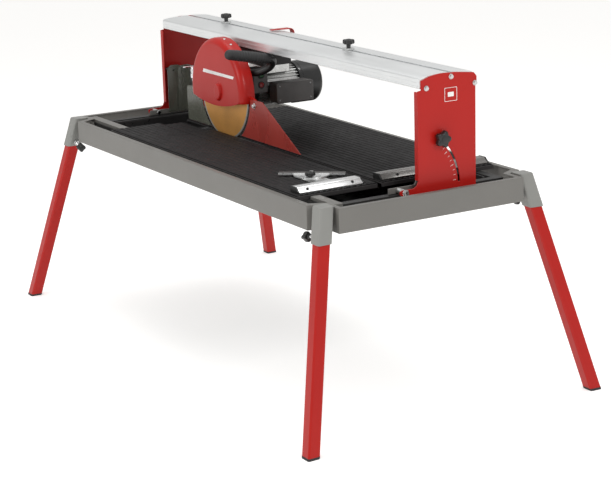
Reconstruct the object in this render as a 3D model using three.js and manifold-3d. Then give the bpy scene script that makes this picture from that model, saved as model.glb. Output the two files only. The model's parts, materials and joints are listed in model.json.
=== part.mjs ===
// Wet tile saw: a bridge saw on a splayed-leg table frame. Millimetres, +Z up.
// +X runs along the table to its right-hand end, +Y away from the operator, and
// the origin is on the floor under the middle of the frame.
import * as THREE from 'three';
import { mergeVertices } from 'three/addons/utils/BufferGeometryUtils.js';
import Module from 'manifold-3d';

const wasm = await Module();
wasm.setup();

// ---- driving dimensions -------------------------------------------------------
const FRAME = { x: 804, y: 341, top: 607, height: 67, wall: 2.5, topLip: 16, lowLip: 12 };
const NOTCH = { x: 742, y: 294, slant: 20 };          // corner notch that takes a socket
const SPLAY = 0.229;                                  // outward run of a leg per mm of drop
const SOCKET = { x: 766, y: 318, side: 43, bore: 36.8, top: 611, bottom: 519, roof: 606 };
const LEG = { side: 36, wall: 2.5, top: 602, foot: 4 };
const SUBFRAME = { x: 731, y: 280, width: 25, top: 596, height: 26, sheet: 3 };
const TRAY = { x: 703, y: 252, bottom: 528, top: 594, wall: 3 };
const DRAIN = { x: 640, y: 200, bore: 15 };
const TABLE = { left: -520, right: 628, front: -316, rear: 322, bottom: 596.3, top: 607, sheet: 3 };
const MAT = { inset: 4, bottom: 607.3, top: 610 };
const SLOT = { front: -62, rear: -48 };               // the gap that the blade runs in
const PARK = { edge: -480, deep: -147, end: -312, wide: -82 };   // wider bay at the slot's left end
const FENCE = { left: 571, right: 613, bottom: 610.3, top: 625, crest: 598, step: 613 };
const PIVOT = { y: -55, z: 604, bore: 5.3 };          // the bridge tilts about this line
const PLATE = { inner: 749, outer: 752, flange: 736 };
const TILT = { radius: 172, knobDeg: 50, maxDeg: 45, halfSlot: 3.6, stud: 3 };
const BRACKET = { inner: 712, outer: 716 };
const RAIL = { end: 748.7, front: -5, rear: 165, bottom: 874, ledge: 878, roof: 894 };
const TSLOT = { mid: 92, neck: 6, half: 12, low: 898, lip: 905, top: 909 };
const AXIS = { x: -238, z: 742 };                     // motor and blade axis, along Y
const BLADE = { radius: 150, y: -55, thick: 2.4, bore: 12.7 };
const GUARD = { x: -249.5, z: 738, radius: 167, sheet: 2.5, front: -82, rear: -34, mouth: 705 };
const FLAP = { front: -56, rear: -54, low: 615.5, tip: 214, radius: 160, lift: 10 };
const FLAP_BOLT = { x: -52, z: 720, radius: 3 };
const MOTOR = { front: 30, rear: 178, radius: 62, fin: 6, bore: 48, shaft: 10 };
const COWL = { radius: 66, front: 178.3, rear: 262, wall: 2.5 };
const CARRIAGE = { left: -340, right: -100 };
const ROLLER = { radius: 7.5, width: 12, axle: 3, xs: [-320, -120], ys: [10, 150] };
const CLAMP = { drop: 74, radius: 14.5, near: 38, far: 58 };
const GRIP = { x: -56, front: -146, high: 884, rear: 8, low: 855, radius: 15, stem: 11 };
const BUTTON = { radius: 8, y: 24, on: 792, off: 762, floor: -158, back: -154, face: -145 };
const TAP = { x: -436, y: -60, low: 745, high: 786 };
const STOP = { x: 450, y: -162, deg: 52.4, arc: 38, arcHalfDeg: 52, disc: 50, bar: 92, barWidth: 16 };
const GAP = 0.3;

// ---- materials ----------------------------------------------------------------
const material = (color, roughness, metalness) =>
  new THREE.MeshStandardMaterial({ color, roughness, metalness });
const RED = material(0xbe2f28, 0.35, 0.1);
const GREY = material(0x8c8983, 0.4, 0.3);
const LIGHT_GREY = material(0xa5a5a0, 0.4, 0.4);
const BLACK = material(0x2a2829, 0.6, 0.0);
const RUBBER = material(0x242224, 0.85, 0.0);
const ALUMINIUM = material(0xd8dcde, 0.3, 0.9);
const STEEL = material(0xb8bcc0, 0.25, 1.0);
const GOLD = material(0xbe7d3c, 0.4, 0.6);
const SMOKE = material(0x484a40, 0.3, 0.0);
const CLEAR_RED = material(0x96302c, 0.3, 0.0);
const DARK = material(0x504c4b, 0.5, 0.2);
const GREEN = material(0x2f6b3a, 0.5, 0.0);

// ---- solids -------------------------------------------------------------------
const vec = (x, y, z) => new THREE.Vector3(x, y, z);

function solid(geometry) {
  const bare = geometry.clone();
  bare.deleteAttribute('normal');
  bare.deleteAttribute('uv');
  const merged = mergeVertices(bare, 1e-4);
  return new wasm.Manifold(new wasm.Mesh({
    numProp: 3,
    vertProperties: Float32Array.from(merged.attributes.position.array),
    triVerts: Uint32Array.from(merged.index.array),
  }));
}

function toGeometry(manifold) {
  const mesh = manifold.getMesh();
  const geometry = new THREE.BufferGeometry();
  geometry.setAttribute('position', new THREE.BufferAttribute(mesh.vertProperties, 3));
  geometry.setIndex(new THREE.BufferAttribute(mesh.triVerts, 1));
  return geometry;
}

const join = (first, ...rest) =>
  toGeometry(rest.reduce((sum, g) => sum.add(solid(g)), solid(first)));
const cut = (first, ...rest) =>
  toGeometry(rest.reduce((sum, g) => sum.subtract(solid(g)), solid(first)));
const common = (first, second) => toGeometry(solid(first).intersect(solid(second)));

function box(x, y, z) {
  const g = new THREE.BoxGeometry(x[1] - x[0], y[1] - y[0], z[1] - z[0]);
  return g.translate((x[0] + x[1]) / 2, (y[0] + y[1]) / 2, (z[0] + z[1]) / 2);
}

function extrude(shape, depth, segments = 12) {
  return new THREE.ExtrudeGeometry(shape, { depth, bevelEnabled: false, curveSegments: segments });
}

const outline = (points) => new THREE.Shape(points.map(([a, b]) => new THREE.Vector2(a, b)));
const hole = (points) => new THREE.Path(points.map(([a, b]) => new THREE.Vector2(a, b)));
const BASIS_X = new THREE.Matrix4().makeBasis(vec(0, 1, 0), vec(0, 0, 1), vec(1, 0, 0));
const BASIS_Y = new THREE.Matrix4().makeBasis(vec(1, 0, 0), vec(0, 0, 1), vec(0, -1, 0));

// A (y, z) outline run along X, an (x, z) outline run along Y, an (x, y) outline run up.
const alongX = (shape, x) => extrude(shape, x[1] - x[0]).applyMatrix4(BASIS_X).translate(x[0], 0, 0);
const alongY = (shape, y) => extrude(shape, y[1] - y[0]).applyMatrix4(BASIS_Y).translate(0, y[1], 0);
const alongZ = (shape, z) => extrude(shape, z[1] - z[0]).translate(0, 0, z[0]);

function rod(axis, radius, range, at, sides = 24) {
  const g = new THREE.CylinderGeometry(radius, radius, range[1] - range[0], sides);
  const mid = (range[0] + range[1]) / 2;
  if (axis === 'x') return g.rotateZ(Math.PI / 2).translate(mid, at[0], at[1]);
  if (axis === 'y') return g.translate(at[0], mid, at[1]);
  return g.rotateX(Math.PI / 2).translate(at[0], at[1], mid);
}

// A turned piece: profile of (radius, height) points, closed on the axis or on itself.
function turned(profile, sides = 24) {
  return new THREE.LatheGeometry(profile.map(([r, h]) => new THREE.Vector2(r, h)), sides);
}

function arcPoints(cx, cy, radius, fromDeg, toDeg, steps) {
  return Array.from({ length: steps + 1 }, (_, i) => {
    const a = THREE.MathUtils.degToRad(fromDeg + ((toDeg - fromDeg) * i) / steps);
    return [cx + radius * Math.cos(a), cy + radius * Math.sin(a)];
  });
}

// Star grip outline: lobes and hollows round a centre.
function starOutline(radius, lobes) {
  const points = [];
  const steps = lobes * 6;
  for (let i = 0; i < steps; i += 1) {
    const a = (2 * Math.PI * i) / steps;
    const r = radius * (0.86 + 0.14 * Math.cos(lobes * a));
    points.push([r * Math.cos(a), r * Math.sin(a)]);
  }
  return outline(points);
}

const group = new THREE.Group();

function part(name, geometry, mat, parent = group) {
  const mesh = new THREE.Mesh(geometry, mat);
  mesh.name = name;
  parent.add(mesh);
  return mesh;
}

// Mirror a list of (y, z) or (x, y) points and keep it running the same way round.
const flip = (points, sx, sy) => {
  const flipped = points.map(([x, y]) => [sx * x, sy * y]);
  return sx * sy < 0 ? flipped.reverse() : flipped;
};

// ---- base frame ---------------------------------------------------------------
// One corner of the apron in plan, from the end wall round the notch to the long wall.
function cornerPoints(inset) {
  const { x, y } = FRAME;
  return [
    [x - inset, NOTCH.y - inset],
    [NOTCH.x - inset * 0.7, NOTCH.y - inset],
    [NOTCH.x - NOTCH.slant - inset * 1.1, y - inset],
  ];
}

function ringPoints(inset) {
  const c = cornerPoints(inset);
  return [...c, ...flip(c, -1, 1), ...flip(c, -1, -1), ...flip(c, 1, -1)];
}

function apronRing(inset, z) {
  const shape = outline(ringPoints(0));
  shape.holes.push(hole(ringPoints(inset)));
  return alongZ(shape, z);
}

const apronBottom = FRAME.top - FRAME.height;
part('base_frame', join(
  apronRing(FRAME.wall, [apronBottom, FRAME.top]),
  apronRing(FRAME.topLip, [FRAME.top - FRAME.wall, FRAME.top]),
  apronRing(FRAME.lowLip, [apronBottom, apronBottom + FRAME.wall]),
), GREY);

// ---- splayed corners: socket, leg and clamp knob -------------------------------
const slab = (z) => box([-2000, 2000], [-2000, 2000], z);

function splayedBar(sx, sy, side) {
  const up = vec(-sx * SPLAY, -sy * SPLAY, 1).normalize();
  const across = vec(1, 0, 0).addScaledVector(up, -up.x).normalize();
  const matrix = new THREE.Matrix4().makeBasis(across, up.clone().cross(across), up);
  matrix.setPosition(sx * SOCKET.x, sy * SOCKET.y, FRAME.top);
  const h = side / 2;
  return { bar: box([-h, h], [-h, h], [-800, 60]).applyMatrix4(matrix), matrix };
}


function corner(name, sx, sy) {
  const { matrix } = splayedBar(sx, sy, 1);
  const bar = (side) => splayedBar(sx, sy, side).bar;
  const placed = (g) => g.applyMatrix4(matrix);
  const inward = -sx;
  const face = SOCKET.side / 2;
  const reach = (a, b) => [Math.min(inward * a, inward * b), Math.max(inward * a, inward * b)];
  const screwHole = placed(rod('x', 4.3, reach(12, face + 6), [0, -CLAMP.drop], 12));
  part(`leg_socket_${name}`, cut(
    common(bar(SOCKET.side), slab([SOCKET.bottom, SOCKET.top])),
    common(bar(SOCKET.bore), slab([SOCKET.bottom - 40, SOCKET.roof])),
    screwHole,
  ), LIGHT_GREY);
  part(`leg_${name}`, cut(
    common(bar(LEG.side), slab([0, LEG.top])),
    common(bar(LEG.side - 2 * LEG.wall), slab([LEG.foot, LEG.top + 20])),
  ), RED);
  const star = alongX(starOutline(CLAMP.radius, 4), reach(face + CLAMP.near, face + CLAMP.far));
  star.translate(0, 0, -CLAMP.drop);
  const stem = rod('x', 4, reach(LEG.side / 2 + GAP, face + CLAMP.near + 2), [0, -CLAMP.drop], 12);
  part(`leg_clamp_knob_${name}`, join(placed(star), placed(stem)), BLACK);
}

corner('front_left', -1, -1);
corner('front_right', 1, -1);
corner('rear_left', -1, 1);
corner('rear_right', 1, 1);

// ---- subframe, tray, drain plug and pump ---------------------------------------
function rectRing(x, y, width, z) {
  return cut(box([-x, x], [-y, y], z), box([-x + width, x - width], [-y + width, y - width],
    [z[0] - 1, z[1] + 1]));
}

const subLow = SUBFRAME.top - SUBFRAME.height;
const tabs = [-1, 1].flatMap((side) => [-420, 0, 420].map((x) => {
  const y = [SUBFRAME.y - 1, FRAME.y - FRAME.wall - GAP];
  return box([x - 20, x + 20], side > 0 ? y : [-y[1], -y[0]], [subLow, subLow + SUBFRAME.sheet]);
}));
const straps = [[632, 748], [-784, -524]].map((x) =>
  box(x, [-275, -247], [TRAY.top + 0.4, 604]));
part('subframe', join(cut(
  rectRing(SUBFRAME.x, SUBFRAME.y, SUBFRAME.width, [subLow, SUBFRAME.top]),
  rectRing(SUBFRAME.x - SUBFRAME.sheet, SUBFRAME.y - SUBFRAME.sheet,
    SUBFRAME.width - 2 * SUBFRAME.sheet, [subLow - 1, SUBFRAME.top - SUBFRAME.sheet]),
), ...tabs, ...straps), LIGHT_GREY);

part('water_tray', cut(
  box([-TRAY.x, TRAY.x], [-TRAY.y, TRAY.y], [TRAY.bottom, TRAY.top]),
  box([-TRAY.x + TRAY.wall, TRAY.x - TRAY.wall], [-TRAY.y + TRAY.wall, TRAY.y - TRAY.wall],
    [TRAY.bottom + TRAY.wall, TRAY.top + 1]),
  rod('z', DRAIN.bore, [TRAY.bottom - 1, TRAY.bottom + TRAY.wall + 1], [DRAIN.x, DRAIN.y]),
), BLACK);

part('drain_plug', turned([
  [0, -10], [20, -10], [20, -GAP], [DRAIN.bore - GAP, -GAP],
  [DRAIN.bore - GAP, TRAY.wall + 3], [0, TRAY.wall + 3],
]).rotateX(Math.PI / 2).translate(DRAIN.x, DRAIN.y, TRAY.bottom), BLACK);

const pumpFloor = TRAY.bottom + TRAY.wall + GAP;
part('coolant_pump', join(
  box([-650, -590], [120, 190], [pumpFloor, pumpFloor + 42]),
  rod('z', 22, [pumpFloor + 2, pumpFloor + 26], [-590, 155]),
  rod('z', 7, [pumpFloor + 20, pumpFloor + 56], [-632, 155], 12),
), BLACK);

// ---- table, mats and fence -----------------------------------------------------
// A plate with a skirt on three sides; the blade's side stays open so the blade can tilt.
function tablePlate(y, slotSide) {
  const { left, right, bottom, top, sheet } = TABLE;
  const under = [y[0] + sheet, y[1] - sheet];
  under[slotSide] = y[slotSide] + (slotSide ? 1 : -1);
  return cut(
    box([left, right], y, [bottom, top]),
    box([left + sheet, right - sheet], under, [bottom - 1, top - sheet]),
  );
}

// The front half gives way at the left, where the blade and its flange are parked.
const bay = (grow) => [
  box([TABLE.left - 1, PARK.edge + grow], [PARK.deep - grow, 0], [TABLE.bottom - 1, MAT.top + 1]),
  box([PARK.edge - 1, PARK.end + grow], [PARK.wide - grow, 0], [TABLE.bottom - 1, MAT.top + 1]),
];
function mat(y) {
  const inset = [y[0] + MAT.inset / 2, y[1] - MAT.inset / 2];
  return box([TABLE.left + 2 * MAT.inset, TABLE.right - MAT.inset], inset, [MAT.bottom, MAT.top]);
}
const halfFront = [TABLE.front, SLOT.front];
const halfRear = [SLOT.rear, TABLE.rear];
part('table_front', cut(tablePlate(halfFront, 1), ...bay(0)), DARK);
part('table_mat_front', cut(mat(halfFront), ...bay(MAT.inset / 2)), RUBBER);
part('table_rear', tablePlate(halfRear, 0), DARK);
part('table_mat_rear', mat(halfRear), RUBBER);

const fenceShape = () => outline([
  [FENCE.left, FENCE.bottom], [FENCE.right, FENCE.bottom], [FENCE.right, FENCE.step],
  [FENCE.crest, FENCE.top], [FENCE.left, FENCE.top],
]);
part('fence_front', alongY(fenceShape(), [-300, -95]), ALUMINIUM);
part('fence_rear', alongY(fenceShape(), [-40, 318]), ALUMINIUM);

// ---- angle stop ----------------------------------------------------------------
const stopDeck = MAT.top + GAP;
part('angle_stop_carrier', join(
  box([STOP.x - 12, FENCE.left - GAP], [STOP.y - 45, STOP.y + 14], [stopDeck, stopDeck + 3]),
  rod('z', 4, [stopDeck + 1, stopDeck + 9], [STOP.x, STOP.y], 16),
), STEEL);

function slotOutline(radius, half, fromDeg, toDeg, cx = 0, cy = 0, steps = 16) {
  return outline([
    ...arcPoints(cx, cy, radius + half, fromDeg, toDeg, steps),
    ...arcPoints(cx, cy, radius - half, toDeg, fromDeg, steps),
  ]);
}

const armGroup = new THREE.Group();
armGroup.position.set(STOP.x, STOP.y, stopDeck + 3 + GAP);
armGroup.rotation.z = THREE.MathUtils.degToRad(STOP.deg);
group.add(armGroup);
part('angle_stop_arm', cut(
  join(
    alongZ(outline(arcPoints(0, 0, STOP.disc, 180, 360, 20)), [0, 3]),
    box([-STOP.bar, STOP.bar], [-1, STOP.barWidth], [0, 6]),
  ),
  rod('z', 4 + GAP, [-1, 8], [0, 0], 16),
  alongZ(slotOutline(STOP.arc, 3.5, 270 - STOP.arcHalfDeg, 270 + STOP.arcHalfDeg), [-1, 5]),
), ALUMINIUM, armGroup);

const knobDir = THREE.MathUtils.degToRad(STOP.deg - 90);
const knobGroup = new THREE.Group();
knobGroup.position.set(STOP.x + STOP.arc * Math.cos(knobDir), STOP.y + STOP.arc * Math.sin(knobDir),
  stopDeck + 3 + GAP);
group.add(knobGroup);
part('angle_stop_knob', join(
  rod('z', 3, [0, 8], [0, 0], 12),
  rod('z', 7, [3 + GAP, 7], [0, 0], 16),
  alongZ(starOutline(15, 5), [6, 18]),
), BLACK, knobGroup);

// ---- pivot brackets, pivot bolts and tilt knobs ---------------------------------
const deg = THREE.MathUtils.degToRad;
const TILT_Y = PIVOT.y + TILT.radius * Math.cos(deg(TILT.knobDeg));
const TILT_Z = PIVOT.z + TILT.radius * Math.sin(deg(TILT.knobDeg));
const bracketOutline = [
  [-85, 596.3], [104, 596.3], [104, 640], [74, 748], [62, 752], [46, 752], [36, 744],
  [14, 640], [-2, 612], [-85, 612],
];
const span = (side, a, b) => (side > 0 ? [a, b] : [-b, -a]);

function bridgeMount(name, side) {
  const across = (a, b) => span(side, a, b);
  part(`pivot_bracket_${name}`, cut(
    alongX(outline(bracketOutline), across(BRACKET.inner, BRACKET.outer)),
    rod('x', PIVOT.bore, across(700, 720), [PIVOT.y, PIVOT.z], 16),
    rod('x', TILT.stud + GAP, across(700, 720), [TILT_Y, TILT_Z], 16),
  ), GREY);
  part(`pivot_bolt_${name}`, join(
    rod('x', 5, across(706, 758), [PIVOT.y, PIVOT.z], 16),
    rod('x', 7.4, across(706, BRACKET.inner - GAP), [PIVOT.y, PIVOT.z], 6),
    rod('x', 7.4, across(BRACKET.outer + GAP, PLATE.inner - GAP), [PIVOT.y, PIVOT.z], 16),
    rod('x', 7.6, across(PLATE.outer + GAP, 758), [PIVOT.y, PIVOT.z], 16),
  ), STEEL);
  const star = extrude(starOutline(24, 5), 18).applyMatrix4(BASIS_X);
  star.translate(side > 0 ? 758 : -776, TILT_Y, TILT_Z);
  part(`tilt_knob_${name}`, join(
    star,
    rod('x', TILT.stud, across(710, 764), [TILT_Y, TILT_Z], 16),
    rod('x', 11, across(PLATE.outer + GAP, 755), [TILT_Y, TILT_Z]),
    rod('x', 9, across(754, 760), [TILT_Y, TILT_Z]),
  ), BLACK);
}

// ---- end plates and guide rail --------------------------------------------------
const FLANGE = 3;
const plateOutline = [
  [-66, 596.5], [172, 596.5], [172, 866], [176, 871], [176, 890], [167, 900.5],
  [110, 907], [60, 909], [24, 904],
  [-2, 895], [-2, 870], [-14, 868], [-14, 628], [-19, 617], [-30, 611.5], [-66, 611.5],
  [-72, 608], [-72, 600],
];

function endPlate(name, side) {
  const across = (a, b) => span(side, a, b);
  const slot = slotOutline(TILT.radius, TILT.halfSlot, TILT.knobDeg + 2.4,
    TILT.knobDeg - TILT.maxDeg - 2.4, PIVOT.y, PIVOT.z, 20);
  part(`end_plate_${name}`, cut(
    join(
      alongX(outline(plateOutline), across(PLATE.inner, PLATE.outer)),
      box(across(PLATE.flange, PLATE.outer), [-14, -14 + FLANGE], [630, 866]),
      box(across(PLATE.flange, PLATE.outer), [172 - FLANGE, 172], [604, 890]),
    ),
    rod('x', PIVOT.bore, across(740, 760), [PIVOT.y, PIVOT.z], 16),
    alongX(slot, across(740, 760)),
  ), RED);
}

const SIDES = { left: -1, right: 1 };
for (const [name, side] of Object.entries(SIDES)) {
  bridgeMount(name, side);
  endPlate(name, side);
}

const t = TSLOT;
part('guide_rail', alongX(outline([
  [RAIL.front, RAIL.bottom], [20, RAIL.bottom], [20, RAIL.ledge], [-1, RAIL.ledge],
  [-1, RAIL.roof], [161, RAIL.roof], [161, RAIL.ledge], [140, RAIL.ledge], [140, RAIL.bottom],
  [RAIL.rear, RAIL.bottom], [RAIL.rear, 900], [160, 904], [130, 907.5],
  [t.mid + t.neck, t.top], [t.mid + t.neck, t.lip], [t.mid + t.half, t.lip],
  [t.mid + t.half, t.low], [t.mid - t.half, t.low], [t.mid - t.half, t.lip],
  [t.mid - t.neck, t.lip], [t.mid - t.neck, t.top], [60, 908.5], [20, 906], [-2, 902],
  [RAIL.front, 900],
]), [-RAIL.end, RAIL.end]), ALUMINIUM);

part('splash_curtain', join(
  box([-709, -706], [-18, 62], [600, 756]),
  box([-RAIL.end, -707], [-10, 34], [752.5, 756]),
), SMOKE);

// ---- travel stops on the rail ----------------------------------------------------
function railStop(name, x) {
  part(`rail_stop_${name}`, join(
    box([x - 14, x + 14], [t.mid - t.half + 1, t.mid + t.half - 1], [t.low + GAP, t.lip - GAP]),
    box([x - 14, x + 14], [t.mid - t.neck + 1, t.mid + t.neck - 1], [t.low + 1, t.top + 3]),
    box([x - 14, x + 14], [t.mid - t.half, t.mid + t.half], [t.top + GAP, t.top + 6]),
  ), STEEL);
  const knob = new THREE.Group();
  knob.position.set(x, t.mid, t.top + 6 + GAP);
  group.add(knob);
  part(`rail_stop_knob_${name}`, join(
    rod('z', 6, [0, 14], [0, 0], 16),
    alongZ(starOutline(18, 5), [11, 25]),
  ), BLACK, knob);
}
railStop('left', -488);
railStop('right', 248);

// ---- carriage ---------------------------------------------------------------------
const bodyX = [CARRIAGE.left, CARRIAGE.right];
const axleZ = RAIL.ledge + GAP + ROLLER.radius;
const axles = ROLLER.xs.flatMap((x) => [
  rod('y', ROLLER.axle, [2.5, 30], [x, axleZ], 12),
  rod('y', ROLLER.axle, [130, 157.5], [x, axleZ], 12),
]);
part('carriage_body', join(
  alongX(outline([
    [6, 858], [150, 858], [150, 868], [128, 868], [128, 878], [136, 878], [136, 891],
    [24, 891], [24, 878], [32, 878], [32, 868], [6, 868],
  ]), bodyX),
  box([-300, -180], [50, 150], [811, 860]),
  ...axles,
), DARK);

ROLLER.xs.forEach((x, i) => ROLLER.ys.forEach((y, j) => {
  const name = `roller_${j ? 'rear' : 'front'}_${i ? 'right' : 'left'}`;
  const half = ROLLER.width / 2;
  part(name, turned([
    [ROLLER.axle + GAP, -half], [ROLLER.radius, -half], [ROLLER.radius, half],
    [ROLLER.axle + GAP, half], [ROLLER.axle + GAP, -half],
  ], 20).translate(x, y, axleZ), BLACK);
}));

part('hose_guide', alongX(outline([
  [150.3, 858], [186, 858], [186, 915], [107, 915], [107, 911.5], [182.5, 911.5],
  [182.5, 861.5], [150.3, 861.5],
]), [-238, -214]), RED);

// Grip that runs forward under the rail's front edge, on a bent stem from the motor mount.
function bentRod(points, radius, steps) {
  const path = new THREE.CatmullRomCurve3(points, false, 'centripetal');
  const section = outline(arcPoints(0, 0, radius, 0, 330, 11));
  return new THREE.ExtrudeGeometry(section, { steps, bevelEnabled: false, extrudePath: path });
}
part('handle_grip', join(
  bentRod([vec(GRIP.x, GRIP.front, GRIP.high), vec(GRIP.x, GRIP.rear, GRIP.low)], GRIP.radius, 1),
  bentRod([
    vec(GRIP.x, GRIP.rear - 22, GRIP.low + 4), vec(GRIP.x - 1, GRIP.rear + 2, GRIP.low - 2),
    vec(GRIP.x - 10, GRIP.rear + 14, GRIP.low - 20), vec(GRIP.x - 30, GRIP.rear + 2, 818),
    vec(GRIP.x - 56, -12, 807), vec(-120, -18, 805), vec(-146.5, -18, 805),
  ], GRIP.stem, 16),
), BLACK);

// ---- motor --------------------------------------------------------------------------
// Round section with square cooling fins standing on it.
function finOutline(fins) {
  const root = MOTOR.radius - MOTOR.fin;
  const pitch = (2 * Math.PI) / fins;
  const points = [];
  for (let i = 0; i < fins; i += 1) {
    const tooth = [[0, root], [0.5, root], [0.5, MOTOR.radius], [1, MOTOR.radius]];
    for (const [turn, r] of tooth) {
      const angle = (i + turn) * pitch;
      points.push([r * Math.cos(angle), r * Math.sin(angle)]);
    }
  }
  return outline(points);
}
const onAxis = (g) => g.translate(AXIS.x, 0, AXIS.z);
part('motor_housing', cut(
  join(
    onAxis(alongY(finOutline(20), [MOTOR.front, MOTOR.rear])),
    rod('y', 58, [-6, MOTOR.front + 2], [AXIS.x, AXIS.z], 40),
    box([-330, -148], [GUARD.rear + GAP, -2], [735, 815]),
    box([-290, -190], [60, 150], [795, 811 - GAP]),
    box([-183, -172], [80, 170], [715, 755]),
  ),
  rod('y', MOTOR.bore, [MOTOR.front + 4, MOTOR.rear + 1], [AXIS.x, AXIS.z], 32),
  rod('y', MOTOR.shaft + 1, [-60, MOTOR.front + 6], [AXIS.x, AXIS.z], 24),
), BLACK);

part('motor_fan_cover', turned([
  [COWL.radius - COWL.wall, COWL.front], [COWL.radius, COWL.front], [COWL.radius, COWL.rear - 10],
  [COWL.radius - 10, COWL.rear], [26, COWL.rear], [26, COWL.rear - COWL.wall],
  [COWL.radius - 11, COWL.rear - COWL.wall], [COWL.radius - COWL.wall, COWL.rear - 11],
  [COWL.radius - COWL.wall, COWL.front],
], 32).translate(AXIS.x, 0, AXIS.z), BLACK);

part('terminal_box', box([-171.7, -122], [64, 192], [702, 764]), DARK);

const shaft = MOTOR.shaft;
part('motor_rotor', turned([
  [0, -72], [shaft, -72], [shaft, -57.5], [12.4, -57.5], [12.4, -53.5], [30, -53.5],
  [30, -46], [shaft, -46], [shaft, 48], [45, 48], [45, 160], [shaft, 160], [shaft, 205],
  [50, 205], [50, 226], [shaft, 226], [shaft, 234], [0, 234],
]).translate(AXIS.x, 0, AXIS.z), STEEL);

// ---- blade and its flange -----------------------------------------------------------
const half = BLADE.thick / 2;
part('diamond_blade', turned([
  [BLADE.bore, -half], [BLADE.radius, -half], [BLADE.radius, half], [BLADE.bore, half],
  [BLADE.bore, -half],
], 60).translate(AXIS.x, BLADE.y, AXIS.z), GOLD);
part('arbor_flange', turned([
  [shaft + GAP, -70], [15, -70], [15, -62], [30, -60], [30, -56.5], [14, -56.5], [14, -58.5],
  [shaft + GAP, -58.5], [shaft + GAP, -70],
]).translate(AXIS.x, 0, AXIS.z), STEEL);

// ---- blade guard and splash flap ------------------------------------------------------
function guardOutline(radius, low) {
  const drop = THREE.MathUtils.radToDeg(Math.asin((GUARD.z - low) / radius));
  return outline(arcPoints(GUARD.x, GUARD.z, radius, -drop, 180 + drop, 30));
}
const guardInner = GUARD.radius - GUARD.sheet;
const guardBack = [GUARD.rear - GUARD.sheet - 1, GUARD.rear + 1];
part('blade_guard', cut(
  join(
    alongY(guardOutline(GUARD.radius, GUARD.mouth), [GUARD.front, GUARD.rear]),
    box([-87, -12], [FLAP.rear + 1.5, -48], [716, 744]),
    rod('y', FLAP_BOLT.radius, [-60, -50], [FLAP_BOLT.x, FLAP_BOLT.z], 12),
    rod('y', 7, [-62, FLAP.front - GAP], [FLAP_BOLT.x, FLAP_BOLT.z], 6),
  ),
  alongY(guardOutline(guardInner, GUARD.mouth - 8),
    [GUARD.front + GUARD.sheet, GUARD.rear - GUARD.sheet]),
  rod('y', 40, guardBack, [AXIS.x, AXIS.z]),
  box([AXIS.x - 40, AXIS.x + 40], guardBack, [GUARD.mouth - 10, AXIS.z]),
), RED);

const flapDip = THREE.MathUtils.radToDeg(Math.asin((AXIS.z - FLAP.low) / FLAP.radius));
const flapShape = outline([
  ...arcPoints(AXIS.x, AXIS.z, FLAP.radius, -flapDip, -2.5, 12).reverse(),
  [FLAP.tip, FLAP.low], [-4, 738], [-60, 737],
]);
const flapSlot = [
  ...arcPoints(FLAP_BOLT.x, FLAP_BOLT.z, FLAP_BOLT.radius + GAP, 0, 180, 6),
  ...arcPoints(FLAP_BOLT.x, FLAP_BOLT.z - FLAP.lift, FLAP_BOLT.radius + GAP, 180, 360, 6),
];
flapShape.holes.push(hole(flapSlot));
part('splash_flap', alongY(flapShape, [FLAP.front, FLAP.rear]), CLEAR_RED);

// ---- switch box and buttons --------------------------------------------------------------
const pocket = (z) => rod('x', BUTTON.radius + 0.5, [BUTTON.floor, -140], [BUTTON.y, z], 20);
part('switch_box', cut(box([-175.7, -148], [-1.7, 46], [738, 812]),
  pocket(BUTTON.on), pocket(BUTTON.off)), DARK);
const button = (z) => rod('x', BUTTON.radius, [BUTTON.back, BUTTON.face], [BUTTON.y, z], 20);
part('button_on', button(BUTTON.on), GREEN);
part('button_off', button(BUTTON.off), RED);

// ---- water tap ----------------------------------------------------------------------------
part('water_tap', join(
  rod('z', 8, [TAP.low, TAP.high], [TAP.x, TAP.y], 20),
  rod('x', 6, [TAP.x, GUARD.x - GUARD.radius - 2], [TAP.y, 762], 16),
), STEEL);
part('water_tap_lever', join(
  rod('z', 6, [TAP.high + GAP, TAP.high + 8], [TAP.x, TAP.y], 16),
  box([TAP.x - 5, TAP.x + 5], [TAP.y - 34, TAP.y + 2], [TAP.high + 4, TAP.high + 8]),
), STEEL);

export default group;
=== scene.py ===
"""Wet tile saw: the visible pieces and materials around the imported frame. Metres, +Z up."""
import json
import math

import bmesh
import bpy
from mathutils import Matrix, Vector


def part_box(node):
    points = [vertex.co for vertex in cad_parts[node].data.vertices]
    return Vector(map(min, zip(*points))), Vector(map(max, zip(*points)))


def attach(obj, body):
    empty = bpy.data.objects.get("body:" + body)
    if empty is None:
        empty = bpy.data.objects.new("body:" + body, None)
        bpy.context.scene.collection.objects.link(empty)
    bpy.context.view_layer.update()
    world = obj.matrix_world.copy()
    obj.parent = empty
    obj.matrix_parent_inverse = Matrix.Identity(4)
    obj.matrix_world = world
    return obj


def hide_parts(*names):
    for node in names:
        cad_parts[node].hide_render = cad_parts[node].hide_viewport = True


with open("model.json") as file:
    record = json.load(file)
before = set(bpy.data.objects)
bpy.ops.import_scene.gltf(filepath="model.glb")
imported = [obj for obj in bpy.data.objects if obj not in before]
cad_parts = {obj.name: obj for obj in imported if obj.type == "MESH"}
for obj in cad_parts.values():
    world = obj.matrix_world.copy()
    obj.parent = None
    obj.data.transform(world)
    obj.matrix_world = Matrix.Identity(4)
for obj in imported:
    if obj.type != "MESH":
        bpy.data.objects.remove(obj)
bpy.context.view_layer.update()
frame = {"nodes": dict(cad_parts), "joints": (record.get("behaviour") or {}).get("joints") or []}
JOINTS = {joint["name"]: joint for joint in frame["joints"]}
CORNERS = ("front_left", "front_right", "rear_left", "rear_right")
SIDES = {"left": -1, "right": 1}
MM = 0.001
ALONG_X, ALONG_Y, ALONG_Z = (1, 0, 0), (0, 1, 0), (0, 0, 1)

scene = bpy.context.scene


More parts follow.
